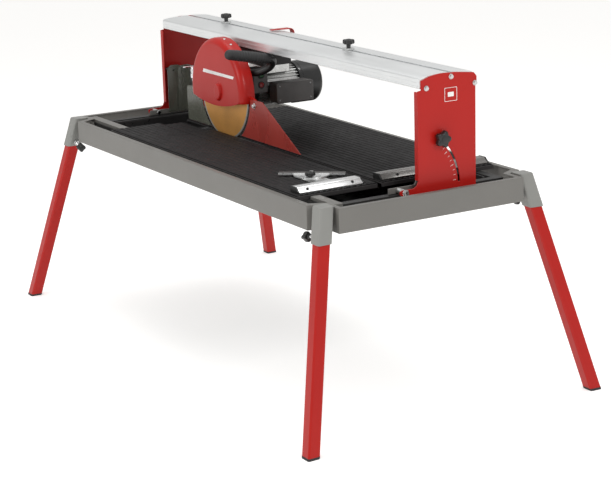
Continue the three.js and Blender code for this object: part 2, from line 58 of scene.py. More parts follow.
# ---- camera, light and floor ----
def make_camera():
    """Long lens from the right and in front, slightly rolled."""
    azimuth, elevation, roll = 1.04024, 0.25678, -0.02923
    place, lens, sensor, far_clip = (4.5727, -2.6057, 1.6898), 105.63, 36.0, 60
    back = Vector((math.sin(azimuth) * math.cos(elevation),
                   -math.cos(azimuth) * math.cos(elevation), math.sin(elevation)))
    level = Vector((math.cos(azimuth), math.sin(azimuth), 0))
    above = back.cross(level)
    right = math.cos(roll) * level + math.sin(roll) * above
    up = math.cos(roll) * above - math.sin(roll) * level
    data = bpy.data.cameras.new("camera")
    data.sensor_width = sensor
    data.lens = lens
    data.clip_end = far_clip
    camera = bpy.data.objects.new("camera", data)
    matrix = Matrix((right, up, back)).transposed().to_4x4()
    matrix.translation = place
    camera.matrix_world = matrix
    scene.collection.objects.link(camera)
    scene.camera = camera


def make_area_light(name, place, aim, size, power):
    data = bpy.data.lights.new(name, "AREA")
    data.shape = "RECTANGLE"
    data.size, data.size_y = size
    data.energy = power
    light = bpy.data.objects.new(name, data)
    light.location = place
    light.rotation_euler = (Vector(aim) - Vector(place)).to_track_quat("-Z", "Y").to_euler()
    scene.collection.objects.link(light)


WARM_WHITE = (1.0, 0.995, 0.985, 1)
WORLD_STRENGTH, FLOOR_GLOW = 0.62, 0.38


def make_studio():
    world = bpy.data.worlds.new("studio")
    world.use_nodes = True
    background = world.node_tree.nodes["Background"]
    background.inputs["Color"].default_value = WARM_WHITE
    background.inputs["Strength"].default_value = WORLD_STRENGTH
    scene.world = world
    make_area_light("front", (0.2, -3.6, 2.4), (0, 0, 0.5), (1.8, 1.4), 45)
    make_area_light("top", (-0.4, 0.4, 3.6), (0, 0, 0.6), (3.2, 1.6), 46)
    make_area_light("side", (4.2, 0.1, 2.9), (0.5, 0, 0.6), (1.4, 0.9), 54)
    scene.view_settings.view_transform = "Standard"


def make_floor():
    """Wide pale plane; its faint glow keeps it as light as the backdrop."""
    mesh = bpy.data.meshes.new("floor")
    half = 14
    mesh.from_pydata([(-half, -half, 0), (half, -half, 0), (half, half, 0), (-half, half, 0)],
                     [], [(0, 1, 2, 3)])
    floor = bpy.data.objects.new("floor", mesh)
    scene.collection.objects.link(floor)
    material = bpy.data.materials.new("floor")
    material.use_nodes = True
    shader = material.node_tree.nodes["Principled BSDF"]
    for key, value in (("Base Color", (0.93, 0.925, 0.915, 1)), ("Roughness", 0.9),
                       ("Specular IOR Level", 0.1), ("Emission Color", WARM_WHITE),
                       ("Emission Strength", FLOOR_GLOW)):
        shader.inputs[key].default_value = value
    mesh.materials.append(material)


make_camera()
make_studio()
make_floor()


# ---- materials ----
WORN_WIDTH = 0.0016
PEEL, FINE = 0.06, 0.0003        # strength of the paint's peel, and the height of fine bumps


class Surface:
    """A Principled material and short ways to add noise, ramps and bump to it."""

    def __init__(self, name, color, roughness, metallic, **sockets):
        self.material = bpy.data.materials.new(name)
        self.material.use_nodes = True
        self.tree = self.material.node_tree
        self.shader = self.tree.nodes["Principled BSDF"]
        self.shader.inputs["Base Color"].default_value = (*color, 1)
        self.shader.inputs["Roughness"].default_value = roughness
        self.shader.inputs["Metallic"].default_value = metallic
        for key, value in sockets.items():
            self.shader.inputs[key.replace("_", " ")].default_value = value
        self.material.diffuse_color = (*color, 1)
        self.place = self.node("ShaderNodeTexCoord").outputs["Object"]

    def node(self, kind, **settings):
        node = self.tree.nodes.new(kind)
        for key, value in settings.items():
            setattr(node, key, value)
        return node

    def link(self, source, target):
        self.tree.links.new(source, target)

    def stretched(self, scale, centre=(0, 0, 0)):
        mapping = self.node("ShaderNodeMapping")
        mapping.inputs["Location"].default_value = tuple(-c * s for c, s in zip(centre, scale))
        mapping.inputs["Scale"].default_value = scale
        self.link(self.place, mapping.inputs["Vector"])
        return mapping.outputs["Vector"]

    def noise(self, scale, detail=3.0, rough=0.55, place=None):
        node = self.node("ShaderNodeTexNoise")
        node.inputs["Scale"].default_value = scale
        node.inputs["Detail"].default_value = detail
        node.inputs["Roughness"].default_value = rough
        self.link(place or self.place, node.inputs["Vector"])
        return node.outputs["Fac"]

    def remap(self, value, low, high, out_low=0.0, out_high=1.0):
        node = self.node("ShaderNodeMapRange", clamp=True)
        for key, number in zip(("From Min", "From Max", "To Min", "To Max"),
                               (low, high, out_low, out_high)):
            node.inputs[key].default_value = number
        self.link(value, node.inputs["Value"])
        return node.outputs["Result"]

    def math(self, operation, a, b=None):
        node = self.node("ShaderNodeMath", operation=operation)
        for socket, value in zip(node.inputs, (a, b)):
            if isinstance(value, (int, float)):
                socket.default_value = value
            elif value is not None:
                self.link(value, socket)
        return node.outputs[0]

    def mix(self, factor, low, high):
        node = self.node("ShaderNodeMix", data_type="RGBA")
        self.link(factor, node.inputs["Factor"])
        for key, value in ((6, low), (7, high)):
            if isinstance(value, tuple):
                node.inputs[key].default_value = (*value, 1)
            else:
                self.link(value, node.inputs[key])
        return node.outputs[2]

    def color(self, output):
        self.link(output, self.shader.inputs["Base Color"])

    def roughness(self, output):
        self.link(output, self.shader.inputs["Roughness"])

    def bump(self, height, strength, distance=0.0005):
        node = self.node("ShaderNodeBump")
        node.inputs["Strength"].default_value = strength
        node.inputs["Distance"].default_value = distance
        self.link(height, node.inputs["Height"])
        if self.shader.inputs["Normal"].is_linked:
            self.link(self.shader.inputs["Normal"].links[0].from_socket, node.inputs["Normal"])
        self.link(node.outputs["Normal"], self.shader.inputs["Normal"])

    def cloud(self, scale, detail, color, low, high):
        """The colour drifting between low and high times itself in soft clouds."""
        drift = self.remap(self.noise(scale, detail), 0.3, 0.7)
        return self.mix(drift, scaled(color, low), scaled(color, high))

    def uneven(self, value, roughness, smoother, rougher):
        """Roughness that follows a noise value, from smoother below it to rougher above it."""
        self.roughness(self.remap(value, 0.3, 0.7, roughness - smoother, roughness + rougher))

    def worn_edges(self, base, worn):
        """Lighter paint or bare metal where an edge stands out, broken up by noise."""
        bevel = self.node("ShaderNodeBevel", samples=6)
        bevel.inputs["Radius"].default_value = WORN_WIDTH
        turned = self.node("ShaderNodeVectorMath", operation="DOT_PRODUCT")
        self.link(bevel.outputs["Normal"], turned.inputs[0])
        self.link(self.node("ShaderNodeNewGeometry").outputs["Normal"], turned.inputs[1])
        edge = self.remap(turned.outputs["Value"], 0.995, 0.9)
        patchy = self.math("MULTIPLY", edge, self.remap(self.noise(90), 0.4, 0.65))
        return self.mix(patchy, base, worn)


def scaled(color, factor):
    return tuple(min(1.0, c * factor) for c in color)


def powder_coat(name, color, roughness):
    s = Surface(name, color, roughness, 0.0, Coat_Weight=0.08, Coat_Roughness=0.15,
                Specular_IOR_Level=0.22)
    s.color(s.worn_edges(s.cloud(4, 3, color, 0.95, 1.04), scaled(color, 1.25)))
    s.uneven(s.noise(14, 4), roughness, 0.03, 0.05)
    s.bump(s.noise(700, 2), PEEL, FINE)
    return s.material


def moulded(name, color, roughness, grain=0.18, scale=1600, **sockets):
    s = Surface(name, color, roughness, 0.0, **sockets)
    s.color(s.worn_edges(s.cloud(12, 4, color, 0.85, 1.15), scaled(color, 1.8)))
    s.uneven(s.noise(45, 4), roughness, 0.06, 0.08)
    s.bump(s.noise(scale, 2), grain, FINE)
    return s.material


def drawn_aluminium(name, color, roughness, along):
    """Anodised extrusion: faint die lines that run along it."""
    stretch = {"x": (3, 420, 420), "y": (420, 3, 420)}[along]
    s = Surface(name, color, roughness, 0.85)
    lines = s.noise(1.0, 4, 0.6, s.stretched(stretch))
    s.color(s.cloud(4, 3, color, 0.95, 1.04))
    s.uneven(lines, roughness, 0.07, 0.09)
    s.bump(lines, 0.1, FINE)
    return s.material


def bare_metal(name, color, roughness, grain=0.1, scale=300):
    s = Surface(name, color, roughness, 1.0)
    spots = s.noise(scale, 4)
    s.color(s.cloud(25, 4, color, 0.85, 1.08))
    s.uneven(spots, roughness, 0.06, 0.1)
    s.bump(spots, grain, 0.0002)
    return s.material


def turned_disc(name, color, roughness, centre):
    """Coated disc with fine rings about the Y axis through centre."""
    s = Surface(name, color, roughness, 0.55, Coat_Weight=0.15, Coat_Roughness=0.25)
    radius = s.node("ShaderNodeVectorMath", operation="LENGTH")
    s.link(s.stretched((1, 0, 1), centre), radius.inputs[0])
    rings = s.node("ShaderNodeTexNoise", noise_dimensions="1D")
    rings.inputs["Scale"].default_value = 900
    rings.inputs["Detail"].default_value = 4
    s.link(radius.outputs["Value"], rings.inputs["W"])
    rings = rings.outputs["Fac"]
    cloud = s.remap(s.noise(14, 5), 0.3, 0.75)
    base = s.mix(cloud, scaled(color, 0.82), scaled(color, 1.12))
    s.color(s.mix(s.remap(rings, 0.35, 0.65, 0.0, 0.35), base, scaled(color, 1.5)))
    s.uneven(rings, roughness, 0.08, 0.1)
    s.bump(rings, 0.12, 0.0002)
    return s.material


def clear_sheet(name, color, roughness, transmission):
    s = Surface(name, color, roughness, 0.0, Transmission_Weight=transmission, IOR=1.42)
    smear = s.noise(9, 4, 0.55, s.stretched((1, 1, 0.45)))
    s.color(s.mix(s.remap(smear, 0.3, 0.7), scaled(color, 0.88), scaled(color, 1.12)))
    s.uneven(smear, roughness, 0.05, 0.1)
    return s.material


BLADE_LOW, BLADE_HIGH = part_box("diamond_blade")
AXIS = (BLADE_LOW + BLADE_HIGH) / 2

RED = powder_coat("red_powder_coat", (0.39, 0.01, 0.0068), 0.34)
GREY = powder_coat("grey_powder_coat", (0.16, 0.155, 0.144), 0.4)
LIGHT_GREY = powder_coat("light_grey_coat", (0.235, 0.235, 0.222), 0.38)
DARK_GREY = powder_coat("dark_grey_coat", (0.04, 0.038, 0.038), 0.42)
BLACK_COAT = powder_coat("black_coat", (0.018, 0.0175, 0.017), 0.45)
BLACK = moulded("black_moulding", (0.01, 0.01, 0.01), 0.36)
BOX_GREY = moulded("grey_moulding", (0.07, 0.064, 0.062), 0.42)
GRIP = moulded("grip_rubber", (0.018, 0.018, 0.019), 0.62, 0.3, 1100)
FOOT = moulded("foot_rubber", (0.02, 0.02, 0.02), 0.75, 0.3, 900)
MAT = moulded("ribbed_rubber", (0.0115, 0.0105, 0.0108), 0.58, 0.05, 700,
              Specular_IOR_Level=0.17)
TRAY = moulded("tray_plastic", (0.02, 0.019, 0.019), 0.32, 0.1, 500)
NYLON = moulded("nylon", (0.1, 0.1, 0.1), 0.35)
GREEN = moulded("green_moulding", (0.008, 0.075, 0.018), 0.35)
STOP_RED = moulded("red_moulding", (0.22, 0.01, 0.01), 0.35)
RAIL = drawn_aluminium("rail_aluminium", (0.8, 0.815, 0.82), 0.36, "x")
FENCE = drawn_aluminium("fence_aluminium", (0.86, 0.865, 0.865), 0.3, "y")
# Same aluminium as the front fence, made darker: a painted reflection of the shaded end plate and
# the shade around it, for the rear fence.
FENCE_PAINTED_REFLECTION = drawn_aluminium("fence_aluminium_painted_reflection", (0.26, 0.25, 0.24), 0.2, "y")
CAST = bare_metal("cast_aluminium", (0.62, 0.62, 0.61), 0.3, 0.35, 260)
ZINC = bare_metal("zinc_plate", (0.66, 0.665, 0.66), 0.28)
CHROME = bare_metal("chrome", (0.78, 0.79, 0.8), 0.09, 0.02)
STEEL = bare_metal("dark_steel", (0.3, 0.3, 0.3), 0.4)
GRIT = bare_metal("diamond_rim", (0.52, 0.52, 0.5), 0.48, 0.9, 1500)
GOLD = turned_disc("bronze_disc", (0.68, 0.33, 0.085), 0.36, AXIS)
SMOKE = clear_sheet("smoke_sheet", (0.2, 0.205, 0.165), 0.2, 0.55)
RED_SHEET = clear_sheet("red_sheet", (0.5, 0.06, 0.045), 0.26, 0.45)
WHITE_MARK = moulded("white_mark", (0.75, 0.74, 0.72), 0.5)


# ---- shapes: each gives (points, faces) ----
def basis(direction):
    """Two unit vectors that complete direction to a right-handed set."""
    ahead = Vector(direction).normalized()
    helper = Vector(ALONG_Z) if abs(ahead.z) < 0.9 else Vector(ALONG_Y)
    side = helper.cross(ahead).normalized()
    return side, ahead.cross(side), ahead


def loft(rings, caps=(True, True), closed=True):
    """Quads between rings of equal length, with flat caps on the first and the last."""
    count = len(rings[0])
    points = [Vector(p) for ring in rings for p in ring]
    faces = []
    for level in range(len(rings) - 1):
        for i in range(count if closed else count - 1):
            a, b = level * count + i, level * count + (i + 1) % count
            faces.append((a, b, b + count, a + count))
    if caps[0]:
        faces.append(tuple(reversed(range(count))))
    if caps[1]:
        faces.append(tuple(range(len(points) - count, len(points))))
    return points, faces


def lathe(profile, centre, direction, sides=64):
    """Profile of (radius, height) pairs turned about direction through centre."""
    side, other, ahead = basis(direction)
    centre = Vector(centre)
    rings = []
    for radius, height in profile:
        ring = []
        for i in range(sides):
            angle = 2 * math.pi * i / sides
            ring.append(centre + ahead * height
                        + side * radius * math.cos(angle) + other * radius * math.sin(angle))
        rings.append(ring)
    return loft(rings, caps=(False, False))


def mm(*values):
    return tuple(v * MM for v in values)


def outline_mm(points):
    return [mm(a, b) for a, b in points]


def turned(profile, centre, direction, sides):
    """lathe() for a profile in millimetres."""
    return lathe(outline_mm(profile), centre, direction, sides)


def prism(outline, plane, low, high):
    """An outline in the plane "xz" or "yz", run from low to high along the third axis."""
    def at(a, b, c):
        return (c, a, b) if plane == "yz" else (a, c, b)

    return loft([[at(a, b, c) for a, b in outline] for c in (low, high)])


def rounded(half_u, half_v, radius, steps=6):
    """Outline of a rounded rectangle about the origin."""
    points = []
    for turn, (su, sv) in enumerate(((1, 1), (-1, 1), (-1, -1), (1, -1))):
        for i in range(steps + 1):
            angle = (turn + i / steps) * math.pi / 2
            points.append((su * (half_u - radius) + radius * math.cos(angle),
                           sv * (half_v - radius) + radius * math.sin(angle)))
    return points


def arc(centre, radius, start, stop, steps):
    turns = [math.radians(start + (stop - start) * i / steps) for i in range(steps + 1)]
    return [(centre[0] + radius * math.cos(t), centre[1] + radius * math.sin(t)) for t in turns]


def smooth_path(points, per_span=6):
    """Centripetal-like spline through the points."""
    points = [Vector(p) for p in points]
    ends = [2 * points[0] - points[1], *points, 2 * points[-1] - points[-2]]
    path = []
    for k in range(1, len(ends) - 2):
        a, b, c, d = ends[k - 1:k + 3]
        for i in range(per_span):
            t = i / per_span
            path.append(0.5 * ((2 * b) + (c - a) * t + (2 * a - 5 * b + 4 * c - d) * t * t
                               + (3 * b - a - 3 * c + d) * t ** 3))
    return path + [points[-1]]


def sweep(path, section):
    """Section(share of the length) gives an outline; it is carried along the path."""
    rings = []
    up = Vector(ALONG_Z)
    for i, point in enumerate(path):
        ahead = (path[min(i + 1, len(path) - 1)] - path[max(i - 1, 0)]).normalized()
        side = ahead.cross(up).normalized()
        up = side.cross(ahead).normalized()
        rings.append([point + side * a + up * b for a, b in section(i / (len(path) - 1))])
    return loft(rings)


def oval(half_u, half_v, sides):
    turns = [2 * math.pi * i / sides for i in range(sides)]
    return [(half_u * math.cos(t), half_v * math.sin(t)) for t in turns]


def outline_stack(outline, centre, direction, levels):
    """An outline scaled and stacked along direction: levels are (height, scale) pairs."""
    side, other, ahead = basis(direction)
    centre = Vector(centre)
    return loft([[centre + ahead * h + side * a * k + other * b * k for a, b in outline]
                 for h, k in levels])


def star(radius, lobes, depth=0.14):
    steps = lobes * 12
    outline = []
    for i in range(steps):
        angle = 2 * math.pi * i / steps
        r = radius * (1 - depth + depth * math.cos(lobes * angle))
        outline.append((r * math.cos(angle), r * math.sin(angle)))
    return outline


def star_knob(centre, direction, radius, lobes, height):
    """Moulded star grip from centre outwards, with a collar below and a domed top."""
    sides = ((0, 0.8), (0.05, 0.93), (0.16, 0.99), (0.3, 1.0), (0.72, 0.98), (0.88, 0.92),
             (0.97, 0.8), (1, 0.6))
    grip = outline_stack(star(radius, lobes), centre, direction,
                         [(share * height, scale) for share, scale in sides])
    dish = lathe([(radius * r, height * h) for r, h in
                  ((0, 1), (0.34, 1), (0.4, 1.04), (0.34, 1.07), (0, 1.08))],
                 centre, direction, 32)
    return [grip, dish]


def hexagon(across):
    return oval(across / math.sqrt(3), across / math.sqrt(3), 6)


def hex_bolt(centre, direction, across, height):
    """Hex head on a washer, standing on centre and facing direction."""
    washer = lathe([(across * r, height * h) for r, h in
                    ((0, 0), (0.72, 0), (0.74, 0.12), (0.7, 0.25), (0, 0.25))],
                   centre, direction, 32)
    head = outline_stack(hexagon(across), centre, direction,
                         [(height * h, scale) for h, scale in
                          ((0.25, 0.97), (0.32, 1.0), (0.88, 1.0), (1, 0.88))])
    return [washer, head]


def dome_screw(centre, direction, radius, height):
    """Round head with a recess in its top, standing on centre."""
    return [lathe([(radius * r, height * h) for r, h in
                   ((0, 0), (1, 0), (1, 0.35), (0.86, 0.72), (0.55, 0.94), (0.34, 1),
                    (0.3, 0.45), (0, 0.45))], centre, direction, 24)]


# ---- pieces ----
SHARP_EDGE = 32      # degrees


def finish_mesh(obj, bevel, segments):
    """Rounds the sharp edges and shades the rest smoothly."""
    if bevel:
        modifier = obj.modifiers.new("round", "BEVEL")
        modifier.width = bevel
        modifier.segments = segments
        modifier.limit_method = "ANGLE"
        modifier.angle_limit = math.radians(SHARP_EDGE)
        modifier.use_clamp_overlap = True
        modifier.harden_normals = False
    weighted = obj.modifiers.new("normals", "WEIGHTED_NORMAL")
    weighted.keep_sharp = True
    weighted.weight = 60


def mesh_of(name, shapes):
    points, faces = [], []
    for shape_points, shape_faces in shapes:
        start = len(points)
        points += shape_points
        faces += [tuple(i + start for i in face) for face in shape_faces]
    mesh = bpy.data.meshes.new(name)
    mesh.from_pydata(points, [], faces)
    work = bmesh.new()
    work.from_mesh(mesh)
    bmesh.ops.remove_doubles(work, verts=work.verts, dist=1e-6)
    bmesh.ops.dissolve_degenerate(work, edges=work.edges, dist=1e-7)
    bmesh.ops.recalc_face_normals(work, faces=work.faces)
    work.to_mesh(mesh)
    work.free()
    return mesh


def carved(mesh, cuts):
    """The mesh with closed shapes cut out of it."""
    obj = bpy.data.objects.new("blank", mesh)
    cutter = bpy.data.objects.new("cutter", mesh_of("cutter", cuts))
    for item in (obj, cutter):
        scene.collection.objects.link(item)
    modifier = obj.modifiers.new("cut", "BOOLEAN")
    modifier.operation = "DIFFERENCE"
    modifier.solver = "EXACT"
    modifier.object = cutter
    bpy.context.view_layer.update()
    solved = obj.evaluated_get(bpy.context.evaluated_depsgraph_get())
    result = bpy.data.meshes.new_from_object(solved)
    for item in (obj, cutter):
        bpy.data.objects.remove(item)
    return result


def piece(name, shapes, material, body, replaces=None, bevel=0.0, sharp=None,
          cuts=(), sheet=0.0):
    """One visible piece of closed shapes, riding on a body; it may stand for a CAD node."""
    mesh = mesh_of(name, shapes)
    if cuts:
        mesh = carved(mesh, cuts)
        mesh.name = name
    work = bmesh.new()
    work.from_mesh(mesh)
    never = 181
    limit = math.radians(sharp or (never if bevel else SHARP_EDGE))
    for face in work.faces:
        face.smooth = True
    for edge in work.edges:
        if len(edge.link_faces) == 2 and edge.calc_face_angle(0) > limit:
            edge.smooth = False
    work.to_mesh(mesh)
    work.free()
    obj = bpy.data.objects.new(name, mesh)
    scene.collection.objects.link(obj)
    mesh.materials.clear()
    mesh.materials.append(material)
    if sheet:
        solidify = obj.modifiers.new("sheet", "SOLIDIFY")
        solidify.thickness = sheet
        solidify.offset = -1
        solidify.use_even_offset = True
    finish_mesh(obj, bevel, 2)
    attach(obj, body)
    if replaces:
        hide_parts(replaces)


def dress(node, material, bevel, segments=2):
    """Keeps a CAD node, rounds its edges and gives it a finished material."""
    obj = frame["nodes"][node]
    obj.data.materials.clear()
    obj.data.materials.append(material)
    for polygon in obj.data.polygons:
        polygon.use_smooth = True
    weld = obj.modifiers.new("weld", "WELD")
    weld.merge_threshold = 2e-5
    finish_mesh(obj, bevel, segments)


def rounded_box(low, high, axis, corner, edge, steps=4):
    """Box between two corners with rounded corners about axis and rounded end edges."""
    low, high = Vector(low), Vector(high)
    k = "xyz".index(axis)
    i, j = [n for n in range(3) if n != k]
    middle = (low + high) / 2
    half_u, half_v = (high[i] - low[i]) / 2, (high[j] - low[j]) / 2
    levels = [(edge * (1 - math.sin(t)), low[k] + edge * (1 - math.cos(t)))
              for t in (math.pi / 2 * n / steps for n in range(steps + 1))]
    levels += [(inset, low[k] + high[k] - height) for inset, height in reversed(levels)]
    rings = []
    for inset, height in levels:
        ring = []
        for a, b in rounded(half_u - inset, half_v - inset, max(corner - inset, 0.0004)):
            point = [0, 0, 0]
            point[i], point[j], point[k] = middle[i] + a, middle[j] + b, height
            ring.append(point)
        rings.append(ring)
    return loft(rings)


def box_mm(low, high, axis, corner, edge):
    """rounded_box() for numbers in millimetres."""
    return rounded_box(mm(*low), mm(*high), axis, corner * MM, edge * MM)


# ---- legs, sockets and their clamp knobs ----
SPLAY = 0.229                    # run over rise of a leg, along X and along Y
SOCKET_AT = (0.766, 0.318, 0.607)
TUBE, BORE, SOCKET = 0.018, 0.0184, 0.0215      # half widths
SCREW_DOWN = 0.074               # along the leg, from the socket's top


def corner_frame(sx, sy):
    """Origin and the across, other, up directions of a splayed corner."""
    up = Vector((-sx * SPLAY, -sy * SPLAY, 1)).normalized()
    across = (Vector(ALONG_X) - up * up.x).normalized()
    x, y, z = SOCKET_AT
    return Vector((sx * x, sy * y, z)), across, up.cross(across), up


def level_ring(corner, half, radius, z):
    """A rounded square carried along the splayed axis to the level z."""
    origin, across, other, up = corner
    outline = rounded(half, half, radius)
    ring = []
    for a, b in outline:
        start = origin + across * a + other * b
        ring.append(start + up * ((z - start.z) / up.z))
    return ring


def build_corner(name, sx, sy):
    corner = corner_frame(sx, sy)
    origin, across, other, up = corner
    def shape(*levels):
        return loft([level_ring(corner, *level) for level in levels])

    piece(f"leg_tube_{name}", [shape((TUBE, 0.0055, 0.003), (TUBE, 0.0055, 0.6))], RED,
          f"leg_{name}", f"leg_{name}", bevel=0.0006)
    piece(f"leg_foot_{name}",
          [shape((0.0176, 0.0056, 0.0), (0.0185, 0.006, 0.0015), (0.0185, 0.006, 0.006),
                 (0.0176, 0.0056, 0.007))], FOOT, f"leg_{name}", sharp=50)
    low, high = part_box(f"leg_socket_{name}")
    piece(f"socket_{name}",
          [shape((BORE, 0.0058, high.z - 0.005), (BORE, 0.0058, low.z), (SOCKET, 0.0075, low.z),
                 (SOCKET, 0.0075, high.z - 0.0025), (0.0208, 0.007, high.z - 0.0007),
                 (0.019, 0.006, high.z))],
          LIGHT_GREY, "frame", f"leg_socket_{name}", sharp=40,
          cuts=[turned([(0, -10), (4.3, -10), (4.3, 20), (0, 20)],
                       origin - across * sx * 0.02 - up * SCREW_DOWN, -sx * across, 20)])
    inward = -sx * across
    screw = origin - up * SCREW_DOWN
    piece(f"socket_nut_{name}",
          [loft([[screw + inward * h + (other * a + up * b) * k for a, b in hexagon(0.0165)]
                 for h, k in ((0.0214, 1.0), (0.029, 1.0), (0.0305, 0.9), (0.0305, 0.32),
                              (0.0214, 0.32), (0.0214, 1.0))], caps=(False, False))], ZINC,
          "frame", sharp=30)
    star_base = screw + inward * (0.0215 + 0.038)
    piece(f"clamp_star_{name}",
          star_knob(star_base, inward, 0.0145, 4, 0.02)
          + [turned([(0, -7), (6.2, -7), (7.5, 0), (7.5, 2), (0, 2)], star_base, inward, 24)],
          BLACK, f"leg_clamp_knob_{name}", f"leg_clamp_knob_{name}", sharp=42)
    threads = [(0, 18.5)]
    for i in range(28):
        h = 19 + i * 1.45
        threads += [(3.4, h), (4, h + 0.6)]
    threads += [(3.4, 59.8), (0, 59.8)]
    piece(f"clamp_screw_{name}", [turned(threads, screw, inward, 16)], ZINC,
          f"leg_clamp_knob_{name}", sharp=50)


for corner_name in CORNERS:
    build_corner(corner_name, 1 if corner_name.endswith("right") else -1,
                 1 if corner_name.startswith("rear") else -1)


# ---- base frame, subframe, tray ----
dress("base_frame", GREY, 0.0014, 3)
dress("subframe", BLACK_COAT, 0.0008)
for i, (left, right) in enumerate(((0.632, 0.748), (-0.784, -0.524))):
    piece(f"subframe_strap_{i}",
          [rounded_box((left - 0.0004, -0.2754, 0.5941), (right + 0.0004, -0.2466, 0.6044), "y",
                       0.0015, 0.001)], GREY, "frame", sharp=35)

TRAY_LOW, TRAY_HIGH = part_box("water_tray")
DRAIN = Vector((0.64, 0.2, TRAY_LOW.z))


def tray_rings():
    """Inside floor, up the inner wall, over the rim and down the outer wall."""
    half = (TRAY_HIGH - TRAY_LOW) / 2
    middle = (TRAY_HIGH + TRAY_LOW) / 2
    levels = [(19, 3), (11, 3.6), (6.5, 7), (5.5, 14), (4, 58), (3.6, 63.5), (2.2, 65.2),
              (0.6, 65.4), (0, 64.6), (0, 60), (1.8, 59), (2.6, 14), (3.6, 5), (9, 0.8), (17, 0)]
    rings = []
    for inset, height in outline_mm(levels):
        outline = rounded(half.x - inset, half.y - inset, max(0.03 - inset, 0.008), 8)
        rings.append([(middle.x + a, middle.y + b, TRAY_LOW.z + height) for a, b in outline])
    return rings


def tray_ribs():
    """Shallow ribs up the tray's long walls."""
    ribs = []
    end_gap, bays = 0.11, 8
    for i in range(bays + 1):
        x = TRAY_LOW.x + end_gap + i * (TRAY_HIGH.x - TRAY_LOW.x - 2 * end_gap) / bays
        for wall in (TRAY_LOW.y, TRAY_HIGH.y):
            inward = 1 if wall < 0 else -1
            near, far = sorted((wall + inward * 0.0008, wall + inward * 0.006))
            ribs.append(rounded_box((x - 0.004, near, TRAY_LOW.z + 0.012),
                                    (x + 0.004, far, TRAY_HIGH.z - 0.008), "z", 0.0015, 0.001))
    return ribs


piece("tray_shell", [loft(tray_rings())], TRAY, "frame", "water_tray", sharp=50,
      cuts=[turned([(0, -10), (15, -10), (15, 10), (0, 10)], DRAIN, ALONG_Z, 40)])
piece("tray_ribs", tray_ribs(), TRAY, "frame", sharp=40)
piece("drain_stopper",
      [turned([(0, -10), (17.5, -10), (19.5, -9), (20, -7.5), (20, -1.8), (19, -0.4),
               (14.6, -0.4), (14.6, 5), (13.6, 6), (0, 6)], DRAIN, ALONG_Z, 48),
       rounded_box(DRAIN + Vector(mm(-13, -2.2, -14)), DRAIN + Vector(mm(13, 2.2, -9)), "z",
                   0.0018, 0.0012)], BLACK, "drain_plug", "drain_plug", sharp=40)

def pump_shapes():
    """Block on a foot, ribbed impeller housing and hose spigot."""
    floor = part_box("coolant_pump")[0].z
    shapes = [rounded_box((-0.65, 0.12, floor + 0.003), (-0.59, 0.19, floor + 0.042), "z", 0.008,
                          0.003),
              rounded_box((-0.648, 0.122, floor), (-0.592, 0.188, floor + 0.004), "z", 0.006,
                          0.0008),
              turned([(0, 4), (20.5, 4), (22, 6), (22, 24), (20.5, 26), (0, 26)],
                     (-0.59, 0.155, floor), ALONG_Z, 40),
              turned([(4.2, 40), (8.5, 40), (8.5, 44.5), (6.8, 46), (6.8, 49), (7.5, 49.5),
                      (6.2, 52.5), (7, 53), (5.5, 56), (4.2, 56), (4.2, 40)],
                     (-0.632, 0.155, floor), ALONG_Z, 32)]
    for i in range(12):
        turn = math.radians(-80 + i * 160 / 11)
        at = Vector((-0.59 + 0.0218 * math.cos(turn), 0.155 + 0.0218 * math.sin(turn), floor))
        shapes.append(rounded_box(at + Vector(mm(-0.8, -0.8, 6)), at + Vector(mm(0.8, 0.8, 24)),
                                  "z", 0.0006, 0.0003))
    return shapes


piece("pump_body", pump_shapes(), BLACK, "frame", "coolant_pump", sharp=40)


# ---- table halves, ribbed mats and fence ----
dress("table_front", DARK_GREY, 0.0008)
dress("table_rear", DARK_GREY, 0.0008)


def ribbed_band(left, right, front, rear, bottom, top, plain_front, plain_rear):
    """Strip of rubber mat with ribs along X between a plain margin at either side."""
    valley, pitch, round_off = top - 0.0017, 0.0185, 0.0003
    start, stop = front + plain_front, rear - plain_rear
    count = max(1, round((stop - start) / pitch))
    step = (stop - start) / count
    outline = [(front, top - round_off), (front + round_off, top), (start - 0.0006, top)]
    for i in range(count):
        y = start + i * step
        outline += [(y + step * share, z) for share, z in (
            (0, valley), (0.2, valley), (0.32, top - round_off), (0.4, top), (0.8, top),
            (0.88, top - round_off))]
    outline += [(stop, valley), (stop + 0.0006, top), (rear - round_off, top),
                (rear, top - round_off)]
    return prism([*reversed(outline), (front, bottom), (rear, bottom)], "yz", left, right)


# the parking bay cut out of the front mat: the Xs of its two steps and the Ys where they end
BAY = {"edge": -0.478, "deep": -0.149, "end": -0.31, "wide": -0.084}
MARGIN, SLOT_MARGIN = 0.0035, 0.016
low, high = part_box("table_mat_front")
piece("mat_front",
      [ribbed_band(low.x, high.x, low.y, BAY["deep"], low.z, high.z, MARGIN, MARGIN),
       ribbed_band(BAY["edge"], high.x, BAY["deep"], BAY["wide"], low.z, high.z, MARGIN, MARGIN),
       ribbed_band(BAY["end"], high.x, BAY["wide"], high.y, low.z, high.z, MARGIN, SLOT_MARGIN)],
      MAT, "frame", "table_mat_front", sharp=40)
low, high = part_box("table_mat_rear")
piece("mat_rear", [ribbed_band(low.x, high.x, low.y, high.y, low.z, high.z, SLOT_MARGIN, MARGIN)],
      MAT, "frame", "table_mat_rear", sharp=40)


def fence_outline(low, high):
    """(x, z) section: flat crest with two grooves, a slope down to a low step."""
    left, right, bottom, top = low.x, high.x, low.z, high.z
    crest = left + 0.027
    points = [(left, bottom), (right, bottom), (right, bottom + 0.0024),
              (right - 0.001, bottom + 0.0031), (crest + 0.0055, top - 0.006),
              (crest + 0.0025, top - 0.0022), (crest, top - 0.0004), (crest - 0.0015, top)]
    for groove in (left + 0.0205, left + 0.0155):
        points += [(groove, top), (groove - 0.0003, top - 0.0012),
                   (groove - 0.0017, top - 0.0012), (groove - 0.002, top)]
    return points + [(left + 0.0012, top), (left, top - 0.0012)]


